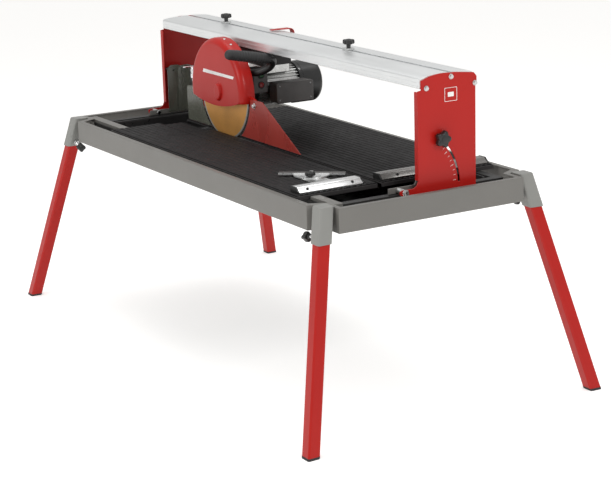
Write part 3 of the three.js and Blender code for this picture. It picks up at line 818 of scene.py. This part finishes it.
def build_fence(node, metal):
    low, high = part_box(node)
    cap, proud = 0.004, 0.0004
    piece(f"{node}_rail", [prism(fence_outline(low, high), "xz", low.y + cap, high.y - cap)],
          metal, "frame", node, bevel=0.0003)
    left, right, top = low.x - proud, high.x + proud, high.z + 0.0006
    section = [(left, low.z), (right, low.z), (right, low.z + 0.0034),
               (low.x + 0.0335, high.z - 0.005), (low.x + 0.028, top), (left, top)]
    for end, span in (("front", (low.y, low.y + cap)), ("rear", (high.y - cap, high.y))):
        piece(f"{node}_cap_{end}", [prism(section, "xz", *span)], BLACK, "frame", bevel=0.0009)
    for i, share in enumerate((0.16, 0.84)):
        spot = (low.x + 0.034, low.y + (high.y - low.y) * share, low.z + 0.0076)
        piece(f"{node}_screw_{i}", dome_screw(spot, (0.55, 0, 0.84), 0.0042, 0.003), BLACK,
              "frame", sharp=40)


build_fence("fence_front", FENCE)
# The rear fence takes the darkened copy of the fence aluminium: painted reflection and shade.
build_fence("fence_rear", FENCE_PAINTED_REFLECTION)


# ---- angle stop ----
dress("angle_stop_carrier", ZINC, 0.0005)
dress("angle_stop_arm", FENCE, 0.0005)
SWING_AT = Vector(JOINTS["angle_stop_swing"]["pos_m"])
ARM_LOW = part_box("angle_stop_arm")[0]
STOP_TURN = math.radians(52.4)       # how far the bar is swung at rest


def stop_point(a, b, z):
    return (SWING_AT.x + a * math.cos(STOP_TURN) - b * math.sin(STOP_TURN),
            SWING_AT.y + a * math.sin(STOP_TURN) + b * math.cos(STOP_TURN), z)


def radial_ticks(centre, turns, inner_radii, outer, half_width):
    """Outlines of short marks that point away from a centre."""
    outlines = []
    for turn, inner in zip(turns, inner_radii):
        ahead = Vector((math.cos(turn), math.sin(turn)))
        side = Vector((-math.sin(turn), math.cos(turn)))
        outlines.append([tuple(Vector(centre) + ahead * r + side * s * half_width)
                         for r, s in ((inner, -1), (outer, -1), (outer, 1), (inner, 1))])
    return outlines


def scale_ticks():
    """Marks round the half disc, every third one longer."""
    deck = ARM_LOW.z + 0.003
    steps = range(-8, 9)
    outlines = radial_ticks((0, 0), [math.radians(270 + i * 10) for i in steps],
                            [0.0436 if i % 3 == 0 else 0.0456 for i in steps], 0.049, 0.00028)
    return [loft([[stop_point(a, b, z) for a, b in outline]
                  for z in (deck - 0.0002, deck + 0.00012)]) for outline in outlines]


piece("angle_bar",
      [loft([[stop_point(a, b, z)
              for a, b in ((-0.0918, -0.0008), (0.0918, -0.0008), (0.0918, 0.0158),
                           (-0.0918, 0.0158))]
             for z in (ARM_LOW.z + 0.0058, ARM_LOW.z + 0.0064)])], BOX_GREY, "angle_stop_arm",
      bevel=0.0003)
piece("angle_scale", scale_ticks(), BLACK, "angle_stop_arm", sharp=30)
piece("angle_pivot_nut",
      hex_bolt((SWING_AT.x, SWING_AT.y, ARM_LOW.z + 0.0065), ALONG_Z, 0.01, 0.0055), ZINC,
      "angle_stop_carrier", sharp=30)
KNOB_LOW, KNOB_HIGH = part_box("angle_stop_knob")
KNOB_AT = (KNOB_LOW + KNOB_HIGH) / 2
piece("angle_knob",
      star_knob((KNOB_AT.x, KNOB_AT.y, KNOB_LOW.z + 0.0062), ALONG_Z, 0.015, 5, 0.0115)
      + [turned([(0, 0), (3, 0), (3, 3.4), (6.8, 3.4), (7.2, 4.5), (6.8, 7.5), (0, 7.5)],
                (KNOB_AT.x, KNOB_AT.y, KNOB_LOW.z), ALONG_Z, 32)], BLACK, "angle_stop_knob",
      "angle_stop_knob", sharp=42)


# ---- tilting bridge: brackets, pivot bolts, tilt knobs, end plates ----
BADGE_AT = (0.092, 0.85)
RAIL_BOLTS = ((0.014, 0.874), (0.093, 0.897), (0.17, 0.872))
PIVOT = Vector(JOINTS["bridge_tilt"]["pos_m"])
PLATE_OUT = 0.752
BRACKET_IN, BRACKET_OUT = 0.712, 0.716


def build_bridge_end(name, sign):
    out = Vector((sign, 0, 0))
    dress(f"pivot_bracket_{name}", GREY, 0.0008)
    dress(f"end_plate_{name}", RED, 0.0008)
    at = Vector((0, PIVOT.y, PIVOT.z))
    shank = lathe([(0, BRACKET_IN - 0.006), (0.005, BRACKET_IN - 0.006),
                   (0.005, PLATE_OUT + 0.006), (0, PLATE_OUT + 0.006)], at, out, 24)
    sleeve = lathe([(0.005, BRACKET_OUT + 0.0003), (0.0074, BRACKET_OUT + 0.0003),
                    (0.0074, 0.7487), (0.005, 0.7487)], at, out, 32)
    nut = outline_stack(hexagon(0.0128), at, out,
                        [(BRACKET_IN - 0.006, 0.9), (BRACKET_IN - 0.0054, 1),
                         (BRACKET_IN - 0.0003, 1)])
    piece(f"pivot_{name}",
          [shank, sleeve, nut] + hex_bolt(at + out * (PLATE_OUT + 0.0003), out, 0.013, 0.0068),
          ZINC, "frame", f"pivot_bolt_{name}", sharp=30)

    low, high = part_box(f"tilt_knob_{name}")
    middle = (low + high) / 2
    knob_at = Vector((0, middle.y, middle.z))
    piece(f"tilt_star_{name}",
          star_knob(knob_at + out * 0.758, out, 0.024, 5, 0.0165)
          + [turned([(0, 754.5), (8.5, 754.5), (9.5, 758.5), (9.5, 760), (0, 760)], knob_at, out,
                    40)], BLACK, f"tilt_knob_{name}", f"tilt_knob_{name}", sharp=42)
    piece(f"tilt_stud_{name}",
          [turned([(0, 710), (2.6, 710), (3, 710.8), (3, 752.2), (0, 752.2)], knob_at, out, 24),
           turned([(0, 752.2), (10.8, 752.2), (11.2, 752.8), (11.2, 754.3), (10.6, 754.9),
                   (0, 754.9)], knob_at, out, 40)], ZINC, f"tilt_knob_{name}", sharp=32)

    for i, (y, z) in enumerate(RAIL_BOLTS):
        piece(f"rail_bolt_{name}_{i}", hex_bolt((sign * PLATE_OUT, y, z), out, 0.01, 0.0058),
              ZINC, "bridge", sharp=30)
    near, far = sorted((sign * (PLATE_OUT - 0.0002), sign * (PLATE_OUT + 0.0003)))
    frame_rings = []
    for half, x in ((0.02, near), (0.02, far), (0.0188, far), (0.0188, near), (0.02, near)):
        outline = rounded(half, half * 0.92, 0.002)
        frame_rings.append([(x, BADGE_AT[0] + a, BADGE_AT[1] + b) for a, b in outline])
    piece(f"badge_{name}",
          [loft(frame_rings, caps=(False, False)),
           prism([(BADGE_AT[0] + a, BADGE_AT[1] + b) for a, b in rounded(0.0095, 0.006, 0.0015)],
                 "yz", near, far)], WHITE_MARK, "bridge", sharp=30)
    steps = range(10)
    outlines = radial_ticks((PIVOT.y, PIVOT.z), [math.radians(50 - i * 5) for i in steps],
                            [0.153 if i % 3 == 0 else 0.157 for i in steps], 0.163, 0.0004)
    proud = PLATE_OUT + 0.0002 if sign > 0 else far
    ticks = [prism(outline, "yz", near, proud) for outline in outlines]
    piece(f"tilt_scale_{name}", ticks, WHITE_MARK, "bridge", sharp=30)


for side_name, side_sign in SIDES.items():
    build_bridge_end(side_name, side_sign)


# ---- guide rail ----
RAIL_LOW, RAIL_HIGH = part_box("guide_rail")


def crown(points):
    path = smooth_path([(y * MM, 0, z * MM) for y, z in points], 5)
    return [(p.x, p.z) for p in path]


def rail_outline():
    """(y, z) section, anticlockwise seen from +X: ledges, crown, T-slot, side grooves."""
    rear_crown = crown([(165, 899), (163, 902.6), (158, 905), (130, 907.8), (98.5, 909)])
    front_crown = crown([(85.5, 909), (60, 908.6), (20, 906.2), (2, 903.6), (-3, 901.6),
                         (-5, 898.5)])
    ledges = [(-5, 875), (-4, 874), (19, 874), (20, 875), (20, 877), (19, 878), (0.5, 878),
              (-1, 879.5), (-1, 892.5), (0.5, 894), (159.5, 894), (161, 892.5), (161, 879.5),
              (159.5, 878), (141, 878), (140, 877), (140, 875), (141, 874), (164, 874),
              (165, 875), (165, 883), (164.2, 883.6), (164.2, 886.4), (165, 887)]
    slot = [(98, 908.5), (98, 905), (104, 905), (104, 898), (80, 898), (80, 905), (86, 905),
            (86, 908.5)]
    face = [(-5, 891.5), (-4.2, 891), (-4.2, 889.6), (-5, 889), (-5, 881.5), (-4.3, 881),
            (-4.3, 879.8), (-5, 879.3)]
    return (outline_mm(ledges) + rear_crown + outline_mm(slot) + front_crown
            + outline_mm(face))


piece("rail_extrusion", [prism(rail_outline(), "yz", RAIL_LOW.x, RAIL_HIGH.x)], RAIL, "bridge",
      "guide_rail", sharp=28)


def flap_sheet(low_y, high_y, x, z_low, z_high, bow, corner):
    """A thin hanging sheet, bowed across its width, with a rounded top."""
    columns, thick = 20, 0.0012
    rings = []
    for i in range(columns + 1):
        share = i / columns
        y = low_y + (high_y - low_y) * share
        out = x - bow * math.sin(math.pi * share)
        edge = min(share, 1 - share) * (high_y - low_y)
        fall = corner - math.sqrt(max(0.0, corner ** 2 - max(0.0, corner - edge) ** 2))
        rings.append([(x_side, y, z) for x_side, z in (
            (out, z_low), (out + thick, z_low), (out + thick, z_high - fall),
            (out, z_high - fall))])
    return loft(rings)


piece("curtain_sheets",
      [flap_sheet(-0.018, 0.036, -0.7065, 0.6, 0.756, 0.0045, 0.018),
       flap_sheet(0.02, 0.062, -0.7045, 0.602, 0.753, 0.003, 0.016)], SMOKE, "bridge",
      "splash_curtain", sharp=40)
piece("curtain_clamp",
      [rounded_box((RAIL_LOW.x, -0.01, 0.74), (-0.7125, 0.034, 0.743), "z", 0.002, 0.0006),
       box_mm((-716.5, -10, 734), (-714, 34, 743), "x", 2, 0.6)]
      + dome_screw((-0.709, 0.006, 0.7385), ALONG_X, 0.0032, 0.0018)
      + [turned([(0, -6), (1.8, -6), (1.8, 0.2), (0, 0.2)], (-0.709, 0.006, 0.7385), ALONG_X,
                16)], BLACK_COAT, "bridge", sharp=32)


# ---- rail stops and rollers ----
for side_name in SIDES:
    dress(f"rail_stop_{side_name}", ZINC, 0.0006)
    low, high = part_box(f"rail_stop_knob_{side_name}")
    middle = (low + high) / 2
    piece(f"stop_star_{side_name}",
          star_knob((middle.x, middle.y, low.z + 0.0105), ALONG_Z, 0.018, 5, 0.0135)
          + [turned([(0, 0), (5.6, 0), (6, 0.4), (6.4, 9), (8, 10.8), (0, 10.8)],
                    (middle.x, middle.y, low.z), ALONG_Z, 32)], BLACK,
          f"rail_stop_knob_{side_name}", f"rail_stop_knob_{side_name}", sharp=42)

dress("carriage_body", DARK_GREY, 0.0009)
for roller in [n for n in frame["nodes"] if n.startswith("roller_")]:
    low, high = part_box(roller)
    middle = (low + high) / 2
    w, r = (high.y - low.y) / 2, (high.z - low.z) / 2
    piece(f"{roller}_tyre",
          [lathe([(0.005, -w + 0.0008), (r - 0.0008, -w), (r, -w + 0.001), (r, w - 0.001),
                  (r - 0.0008, w), (0.005, w - 0.0008), (0.005, -w + 0.0008)], middle, ALONG_Y,
                 40)], NYLON, roller, roller, sharp=40)
    piece(f"{roller}_bearing",
          [lathe([(0.0033, -w + 0.0016), (0.005, -w + 0.0012), (0.005, w - 0.0012),
                  (0.0033, w - 0.0016), (0.0033, -w + 0.0016)], middle, ALONG_Y, 40)]
          + [turned([(0, -0.4), (0.5, -0.3), (0.5, 0.3), (0, 0.4)],
                    middle + Vector((0.0041, s * (w - 0.0012), 0)), ALONG_Y, 8)
             for s in (-1, 1)], ZINC, roller, sharp=40)


# ---- hose guide and handle ----
HOSE_LOW, HOSE_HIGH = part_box("hose_guide")


def strap_path():
    flat = [(0.151, 0.86), (0.164, 0.86)]
    flat += arc((0.174, 0.87), 0.01, -90, 0, 6)
    flat += arc((0.17, 0.899), 0.014, 0, 90, 8)
    flat += [(0.156, 0.9132), (0.136, 0.9134), (0.118, 0.9134), (0.108, 0.9132)]
    return [Vector(((HOSE_LOW.x + HOSE_HIGH.x) / 2, y, z)) for y, z in flat]


piece("hose_strap",
      [sweep(strap_path(),
             lambda t: rounded(0.012 - 0.0035 * max(0.0, t - 0.8) / 0.2, 0.0014, 0.001, 3))], RED,
      "carriage", "hose_guide", sharp=50)

GRIP_TIP, GRIP_HEEL = Vector((-0.056, -0.146, 0.884)), Vector((-0.056, 0.008, 0.855))


def grip_radius(share):
    nose = min(1.0, share / 0.09)
    tail = min(1.0, (1 - share) / 0.08)
    swell = 0.0148 + 0.0014 * math.sin(math.pi * min(1.0, share * 1.15))
    rib = 0.00045 * math.cos(share * 2 * math.pi * 17) if 0.14 < share < 0.86 else 0.0
    rounding = max(0.02, 1 - (1 - nose) ** 2) * max(0.55, 1 - (1 - tail) ** 2)
    return (swell + rib) * math.sqrt(rounding)


GRIP_STEPS = 136
GRIP_PATH = [GRIP_TIP.lerp(GRIP_HEEL, i / GRIP_STEPS) for i in range(GRIP_STEPS + 1)]
STEM_PATH = smooth_path([mm(-56, -12, 858.8), mm(-57, 8, 853.5), mm(-64, 17, 843), mm(-78, 13, 826),
                         mm(-100, -4, 812), mm(-124, -16, 806.5), mm(-147.5, -18, 805)], 8)
piece("grip_sleeve", [sweep(GRIP_PATH, lambda t: oval(grip_radius(t), grip_radius(t), 36))],
      GRIP, "carriage", "handle_grip", sharp=60)
piece("grip_stem",
      [sweep(STEM_PATH, lambda t: oval(0.0135 - 0.0025 * t, 0.0135 - 0.0025 * t, 32)),
       turned([(0, 0), (16.5, 0), (17.5, 1), (16.5, 4), (12.5, 6.5), (0, 6.5)],
              mm(-148, -18, 805), ALONG_X, 40)], BLACK, "carriage", sharp=50)


# ---- motor ----
AXIS_AT = Vector((AXIS.x, 0, AXIS.z))


def axial(profile, sides):
    """A profile in millimetres turned about the motor's axis; heights are Y."""
    return turned(profile, AXIS_AT, ALONG_Y, sides)


def fin_outline():
    """Round body with 36 straight fins, as an (x, z) section."""
    fins, root, tip = 36, 0.0555, 0.062
    profile = [(-0.33, root), (-0.2, root + 0.0004), (-0.15, tip - 0.0008), (-0.1, tip),
               (0.1, tip), (0.15, tip - 0.0008), (0.2, root + 0.0004), (0.33, root)]
    points = []
    for i in range(fins):
        for share, r in profile:
            turn = 2 * math.pi * (i + share) / fins
            points.append((AXIS.x + r * math.cos(turn), AXIS.z + r * math.sin(turn)))
    return points


piece("motor_fins", [prism(fin_outline(), "xz", 0.034, 0.1775)], CAST, "carriage",
      "motor_housing", sharp=35,
      cuts=[axial([(0, 36), (48, 36), (48, 190), (0, 190)], 48)])
piece("motor_mount_pad",
      [box_mm((-290, 60, 786), (-190, 150, 810.7), "z", 4, 1),
       box_mm((-186, 80, 715), (-171.9, 170, 755), "x", 3, 0.8)], CAST, "carriage", sharp=35)
piece("motor_bearing_shield",
      [axial([(11, -6), (30, -6), (32, -4), (50, 0), (56, 4.5), (59, 12), (60.5, 20), (60.5, 34),
               (45, 34.5), (11, 34.5), (11, -6)], 72)], BLACK, "carriage",
      sharp=30)
PLATE_FRONT, PLATE_REAR = -0.0337, -0.002
piece("motor_plate",
      [rounded_box((-0.33, PLATE_FRONT, 0.735), (-0.148, PLATE_REAR, 0.815), "y", 0.014, 0.003)],
      DARK_GREY, "carriage", sharp=35,
      cuts=[axial([(0, -50), (11.5, -50), (11.5, 10), (0, 10)], 40)])
for i, (x, z) in enumerate(((-0.312, 0.798), (-0.312, 0.752), (-0.166, 0.798), (-0.166, 0.752))):
    piece(f"motor_plate_bolt_{i}", hex_bolt((x, PLATE_REAR, z), ALONG_Y, 0.01, 0.006), ZINC,
          "carriage", sharp=30)


def spoke_ways(count, start):
    """Outward and sideways unit vectors of spokes about the motor's axis."""
    for k in range(count):
        turn = start + 2 * math.pi * k / count
        yield (Vector((math.cos(turn), 0, math.sin(turn))),
               Vector((-math.sin(turn), 0, math.cos(turn))))


def ring_bar(radius, half, low, high):
    """Closed profile of a ring with a rectangular section."""
    inner, outer = radius - half, radius + half
    return [(inner, low), (outer, low), (outer, high), (inner, high), (inner, low)]


def cowl_shapes():
    """Fan cover: a can with a groove and a rounded rim, and a grille of rings and spokes."""
    r, wall, corner, groove = 0.066, 0.0025, 0.014, 0.0006
    front, rear = 0.1783, 0.262
    quarter = [math.pi / 2 * k / 8 for k in range(9)]
    inside = [math.pi / 2 * (1 - k / 6) for k in range(7)]
    profile = [(r - wall, front), (r, front + 0.0004), (r, front + 0.01),
               (r - groove, front + 0.0106), (r - groove, front + 0.0126),
               (r, front + 0.0132), (r, rear - 0.016)]
    profile += [(r - corner + corner * math.cos(t), rear - corner + corner * math.sin(t))
                for t in quarter]
    profile += [(0.047, rear), (0.047, rear - wall), (r - corner, rear - wall)]
    profile += [(r - corner + (corner - wall) * math.cos(t),
                 rear - corner + (corner - wall) * math.sin(t)) for t in inside]
    profile += [(r - wall, front)]
    shapes = [lathe(profile, AXIS_AT, ALONG_Y, 72)]
    for radius in (0.0115, 0.0185, 0.0255, 0.0325, 0.0395):
        shapes.append(lathe(ring_bar(radius, 0.0011, rear - 0.0022, rear - 0.0003),
                            AXIS_AT, ALONG_Y, 64))
    shapes.append(lathe([(0, rear - 0.0024), (0.0055, rear - 0.0024), (0.0055, rear - 0.0002),
                         (0.0045, rear), (0, rear)], AXIS_AT, ALONG_Y, 32))
    bar = rounded(0.0013, 0.0009, 0.0004, 2)
    for ahead, side in spoke_ways(8, 0.2):
        shapes.append(loft([[AXIS_AT + ahead * d + side * a + Vector((0, rear - 0.0013 + b, 0))
                             for a, b in bar] for d in (0.005, 0.048)]))
    return shapes


piece("motor_cowl", cowl_shapes(), BLACK, "carriage", "motor_fan_cover", sharp=30)
for i, (out, _) in enumerate(spoke_ways(4, math.pi / 4)):
    piece(f"cowl_screw_{i}",
          dome_screw(AXIS_AT + out * 0.0657 + Vector((0, 0.184, 0)), out, 0.0032, 0.0022), ZINC,
          "carriage", sharp=40)

BOX_LOW, BOX_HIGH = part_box("terminal_box")
LID, OVERHANG, LID_SCREW_IN = 0.01, 0.0012, 0.0095
piece("terminal_shell",
      [rounded_box(BOX_LOW, (BOX_HIGH.x - LID, BOX_HIGH.y, BOX_HIGH.z), "x", 0.007, 0.002),
       rounded_box((BOX_HIGH.x - LID - 0.0004, BOX_LOW.y - OVERHANG, BOX_LOW.z - OVERHANG),
                   (BOX_HIGH.x, BOX_HIGH.y + OVERHANG, BOX_HIGH.z + OVERHANG), "x", 0.008,
                   0.0025)],
      BOX_GREY, "carriage", "terminal_box", sharp=35)
lid_ys = (BOX_LOW.y + LID_SCREW_IN, BOX_HIGH.y - LID_SCREW_IN)
lid_zs = (BOX_LOW.z + LID_SCREW_IN, BOX_HIGH.z - LID_SCREW_IN)
for i, (y, z) in enumerate((y, z) for y in lid_ys for z in lid_zs):
    piece(f"terminal_screw_{i}",
          dome_screw((BOX_HIGH.x - 0.0004, y, z), ALONG_X, 0.0028, 0.0016), STEEL, "carriage",
          sharp=40)


def fan_shapes():
    shapes = [axial([(0, 204), (14, 204), (14, 226), (11, 228), (0, 228)], 32),
              axial([(13.8, 205), (49, 205), (49, 206.6), (13.8, 206.6), (13.8, 205)], 64)]
    for ahead, side in spoke_ways(9, 0):
        rings = []
        for d, tip in ((0.013, 0.2255), (0.03, 0.225), (0.048, 0.22)):
            rings.append([AXIS_AT + ahead * d + side * a + Vector((0, y, 0)) for a, y in (
                (-0.0008, 0.206), (0.0008, 0.206), (0.0008, tip), (-0.0008, tip))])
        shapes.append(loft(rings))
    return shapes


piece("motor_fan", fan_shapes(), BOX_GREY, "spindle", sharp=30)
piece("motor_shaft",
      [axial([(0, -72), (9.2, -72), (10, -71.2), (10, -57.5), (12.4, -57.5), (12.4, -53.5),
               (29, -53.5), (30, -52.5), (30, -47), (29, -46), (10, -46), (10, 48), (45, 48),
               (45, 160), (10, 160), (10, 204.5), (0, 204.5)], 56)], STEEL,
      "spindle", "motor_rotor", sharp=30)


# ---- blade and flange ----
BLADE_R = (BLADE_HIGH.z - BLADE_LOW.z) / 2
piece("blade_core",
      [turned([(12.7, -1), (144.8, -1), (144.8, 1), (12.7, 1), (12.7, -1)], AXIS, ALONG_Y,
              160)], GOLD, "spindle", "diamond_blade", sharp=30)
piece("blade_rim",
      [lathe([(0.1445, -0.00105), (0.145, -0.0012), (BLADE_R - 0.0004, -0.0012),
              (BLADE_R, -0.0009), (BLADE_R, 0.0009), (BLADE_R - 0.0004, 0.0012), (0.145, 0.0012),
              (0.1445, 0.00105), (0.1445, -0.00105)], AXIS, ALONG_Y, 160)], GRIT, "spindle",
      sharp=40)
piece("flange_outer",
      [axial([(10.3, -58.5), (14, -58.5), (14, -56.6), (28.5, -56.6), (30, -57.4), (30, -59),
               (28.5, -60.2), (17, -61.8), (15, -62.2), (10.3, -62.2), (10.3, -58.5)], 64)],
      ZINC, "spindle", "arbor_flange", sharp=30)
piece("arbor_nut",
      [loft([[AXIS_AT + Vector((a * k, h, b * k)) for a, b in hexagon(0.027)]
             for h, k in ((-0.0622, 1.0), (-0.069, 1.0), (-0.07, 0.93), (-0.07, 0.68),
                          (-0.0622, 0.68), (-0.0622, 1.0))], caps=(False, False))], ZINC,
      "spindle", sharp=30)


# ---- blade guard ----
GUARD_AT = (-0.2495, 0.738)
GUARD_R, SHEET = 0.166, 0.0025
GUARD_FRONT, GUARD_REAR = -0.082, -0.034
SHOULDER = 0.02
ENDS = (0.721, 0.697, 0.713)     # the mouth's edge at the right, in the middle and at the left


def mouth_curve(count):
    """Heights of the lower edge from the left end back to the right one, on a parabola."""
    right_end, middle, left_end = ENDS
    pull = (4 * middle - left_end - right_end) / 2
    shares = [i / count for i in range(count + 1)]
    return [(1 - t) ** 2 * left_end + 2 * t * (1 - t) * pull + t * t * right_end for t in shares]


def guard_arc(inset):
    radius = GUARD_R - inset
    start = math.degrees(math.asin((ENDS[0] - GUARD_AT[1]) / radius))
    stop = 180 - math.degrees(math.asin((ENDS[2] - GUARD_AT[1]) / radius))
    return arc(GUARD_AT, radius, start, stop, 72)


def guard_shell():
    """Open shell: rim and rounded shoulder, a front face, and a back face with an arbor notch."""
    steps, middle, half_notch, clear = 24, 12, 0.04, 0.002
    levels = [(GUARD_REAR, 0.004), (GUARD_REAR - 0.0012, 0.0012), (GUARD_REAR - 0.004, 0.0)]
    levels += [(GUARD_FRONT + SHOULDER * (1 - math.sin(t)), SHOULDER * (1 - math.cos(t)))
               for t in (math.pi / 2 * k / 10 for k in range(11))]
    rings = [[(x, y, z) for x, z in guard_arc(inset)] for y, inset in levels]
    points, faces = loft(rings, caps=(False, False), closed=False)
    count = len(rings[0])
    heights = mouth_curve(steps)

    def face_from(ring_start, y, notch):
        left_x, right_x = points[ring_start + count - 1].x, points[ring_start].x
        low = [(left_x + (right_x - left_x) * i / steps, heights[i]) for i in range(1, steps)]
        if notch:
            near, far, roof = AXIS.x - half_notch, AXIS.x + half_notch, AXIS.z
            before = [p for p in low if p[0] < near - clear]
            after = [p for p in low if p[0] > far + clear]
            low = [*before, (near, heights[middle]), (near, roof),
                   *arc((AXIS.x, roof), half_notch, 180, 0, 20)[1:-1],
                   (far, roof), (far, heights[middle]), *after]
        extra = len(points)
        points.extend(Vector((x, y, z)) for x, z in low)
        faces.append((*range(ring_start, ring_start + count), *range(extra, extra + len(low))))

    face_from((len(rings) - 1) * count, GUARD_FRONT, False)
    face_from(0, GUARD_REAR, True)
    return points, faces


piece("guard_shell", [guard_shell()], RED, "carriage", "blade_guard", sharp=40, sheet=SHEET)


BOSS_AT = (-0.228, 0.742)
piece("guard_boss",
      [loft([[(BOSS_AT[0] + a * k, GUARD_FRONT - h, BOSS_AT[1] + b * k)
              for a, b in oval(0.018, 0.026, 40)]
             for h, k in ((-0.001, 1.12), (0.0008, 1.08), (0.003, 1.02), (0.0058, 0.97),
                          (0.007, 0.9), (0.0073, 0.8))])], RED, "carriage", sharp=60)
for i, x in enumerate((-0.222, -0.182)):
    height = math.sqrt(GUARD_R ** 2 - (x - GUARD_AT[0]) ** 2)
    out = Vector((x - GUARD_AT[0], 0, height)).normalized()
    piece(f"guard_screw_{i}",
          dome_screw((x, -0.058, GUARD_AT[1] + height - 0.0002), out, 0.004, 0.0028), ZINC,
          "carriage", sharp=40)
FLAP_BOLT_AT = (-0.052, 0.72)
piece("flap_gusset",
      [prism([(-0.086, 0.716), (-0.015, 0.716), (-0.0125, 0.7185), (-0.0125, 0.723),
              (-0.015, 0.7262), (-0.07, 0.7435), (-0.086, 0.744)], "xz", -0.0525, -0.048)], RED,
      "carriage", bevel=0.0008)
piece("flap_bolt",
      [turned([(0, -51.5), (3, -51.5), (3, -56), (0, -56)], (FLAP_BOLT_AT[0], 0, FLAP_BOLT_AT[1]),
              ALONG_Y, 24)]
      + hex_bolt((FLAP_BOLT_AT[0], -0.0562, FLAP_BOLT_AT[1]), (0, -1, 0), 0.0115, 0.0062), ZINC,
      "carriage", sharp=30)
dress("splash_flap", RED_SHEET, 0.0005)


def trailing_flap():
    """Smoke sheet behind the blade: it hangs from inside the guard's left end."""
    edge = arc((AXIS.x, AXIS.z), 0.159, 178, 231.8, 14)
    outline = outline_mm([(-490, 616.5), (-491.5, 718), (-486, 724), (-412, 733), (-406, 747)])
    return prism(outline + edge, "xz", -0.0562, -0.0548)


piece("trailing_flap", [trailing_flap()], SMOKE, "carriage", bevel=0.0003)
piece("guard_stripe",
      [prism([(-0.3265, 0.792), (-0.133, 0.7925), (-0.126, 0.801), (-0.322, 0.8025)], "xz",
             GUARD_FRONT - 0.0003, GUARD_FRONT + 0.0002)], WHITE_MARK, "carriage", sharp=30)


# ---- switch box, buttons and water tap ----
dress("switch_box", BOX_GREY, 0.0012)
SWITCH_FACE = -0.148
for node, material in (("button_on", GREEN), ("button_off", STOP_RED)):
    low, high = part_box(node)
    middle = (low + high) / 2
    r, tall = (high.z - low.z) / 2, high.x - low.x
    piece(f"{node}_cap",
          [lathe([(0, 0), (r, 0), (r, tall - 0.0016), (r * 0.93, tall - 0.0004),
                  (r * 0.8, tall), (r * 0.62, tall - 0.0006), (0, tall - 0.001)],
                 (low.x, middle.y, middle.z), ALONG_X, 40)],
          material, node, node, sharp=40)
    piece(f"{node}_bezel",
          [turned([(8.6, -0.8), (11.5, -0.8), (11.5, 1), (10.8, 1.8), (9.2, 1.8), (8.6, 1),
                   (8.6, -0.8)], (SWITCH_FACE, middle.y, middle.z), ALONG_X, 40)],
          BLACK, "carriage", sharp=35)

TAP_LOW, TAP_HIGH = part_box("water_tap")
TAP_AT = Vector((-0.436, -0.06, TAP_LOW.z))
TAP_TALL = TAP_HIGH.z - TAP_LOW.z
piece("tap_body",
      [lathe([(0, 0), (0.0042, 0), (0.0052, 0.001), (0.004, 0.0032), (0.0052, 0.0042),
              (0.004, 0.0064), (0.0052, 0.0074), (0.0042, 0.01), (0.0074, 0.0108), (0.008, 0.012),
              (0.008, 0.0245), (0.0072, 0.0258), (0.0064, 0.0266), (0.0064, 0.03),
              (0.0078, 0.0312), (0.0078, TAP_TALL - 0.0026), (0.0066, TAP_TALL), (0, TAP_TALL)],
             TAP_AT, ALONG_Z, 40),
       turned([(0, 4), (5.8, 4), (6.2, 8), (5, 9.5), (5, 13), (7.2, 13.8), (7.2, 19.2),
               (0, 19.2)], (TAP_AT.x, TAP_AT.y, 0.762), ALONG_X, 32)], CHROME, "carriage",
      "water_tap", sharp=35)


def lever_section(t):
    half = 0.0052 - 0.0012 * math.sin(math.pi * t)
    if t > 0.8:
        half = 0.0052 * math.sqrt(max(0.08, 1 - ((t - 0.8) / 0.2) ** 2))
    return rounded(half, 0.0018, 0.0012, 3)


LEVER_LOW, LEVER_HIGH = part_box("water_tap_lever")
LEVER_REACH, LEVER_STEPS = 0.036, 20
LEVER_PATH = [Vector((TAP_AT.x, TAP_AT.y + 0.002 - LEVER_REACH * i / LEVER_STEPS,
                      LEVER_HIGH.z - 0.002 + 0.0012 * math.sin(math.pi * i / 26)))
              for i in range(LEVER_STEPS + 1)]
piece("tap_lever",
      [sweep(LEVER_PATH, lever_section),
       lathe([(0, LEVER_LOW.z), (0.0058, LEVER_LOW.z), (0.0062, LEVER_LOW.z + 0.001),
              (0.0062, LEVER_HIGH.z - 0.001), (0.0052, LEVER_HIGH.z + 0.0006),
              (0, LEVER_HIGH.z + 0.001)], (TAP_AT.x, TAP_AT.y, 0), ALONG_Z, 32)], CHROME,
      "water_tap_lever", "water_tap_lever", sharp=40)
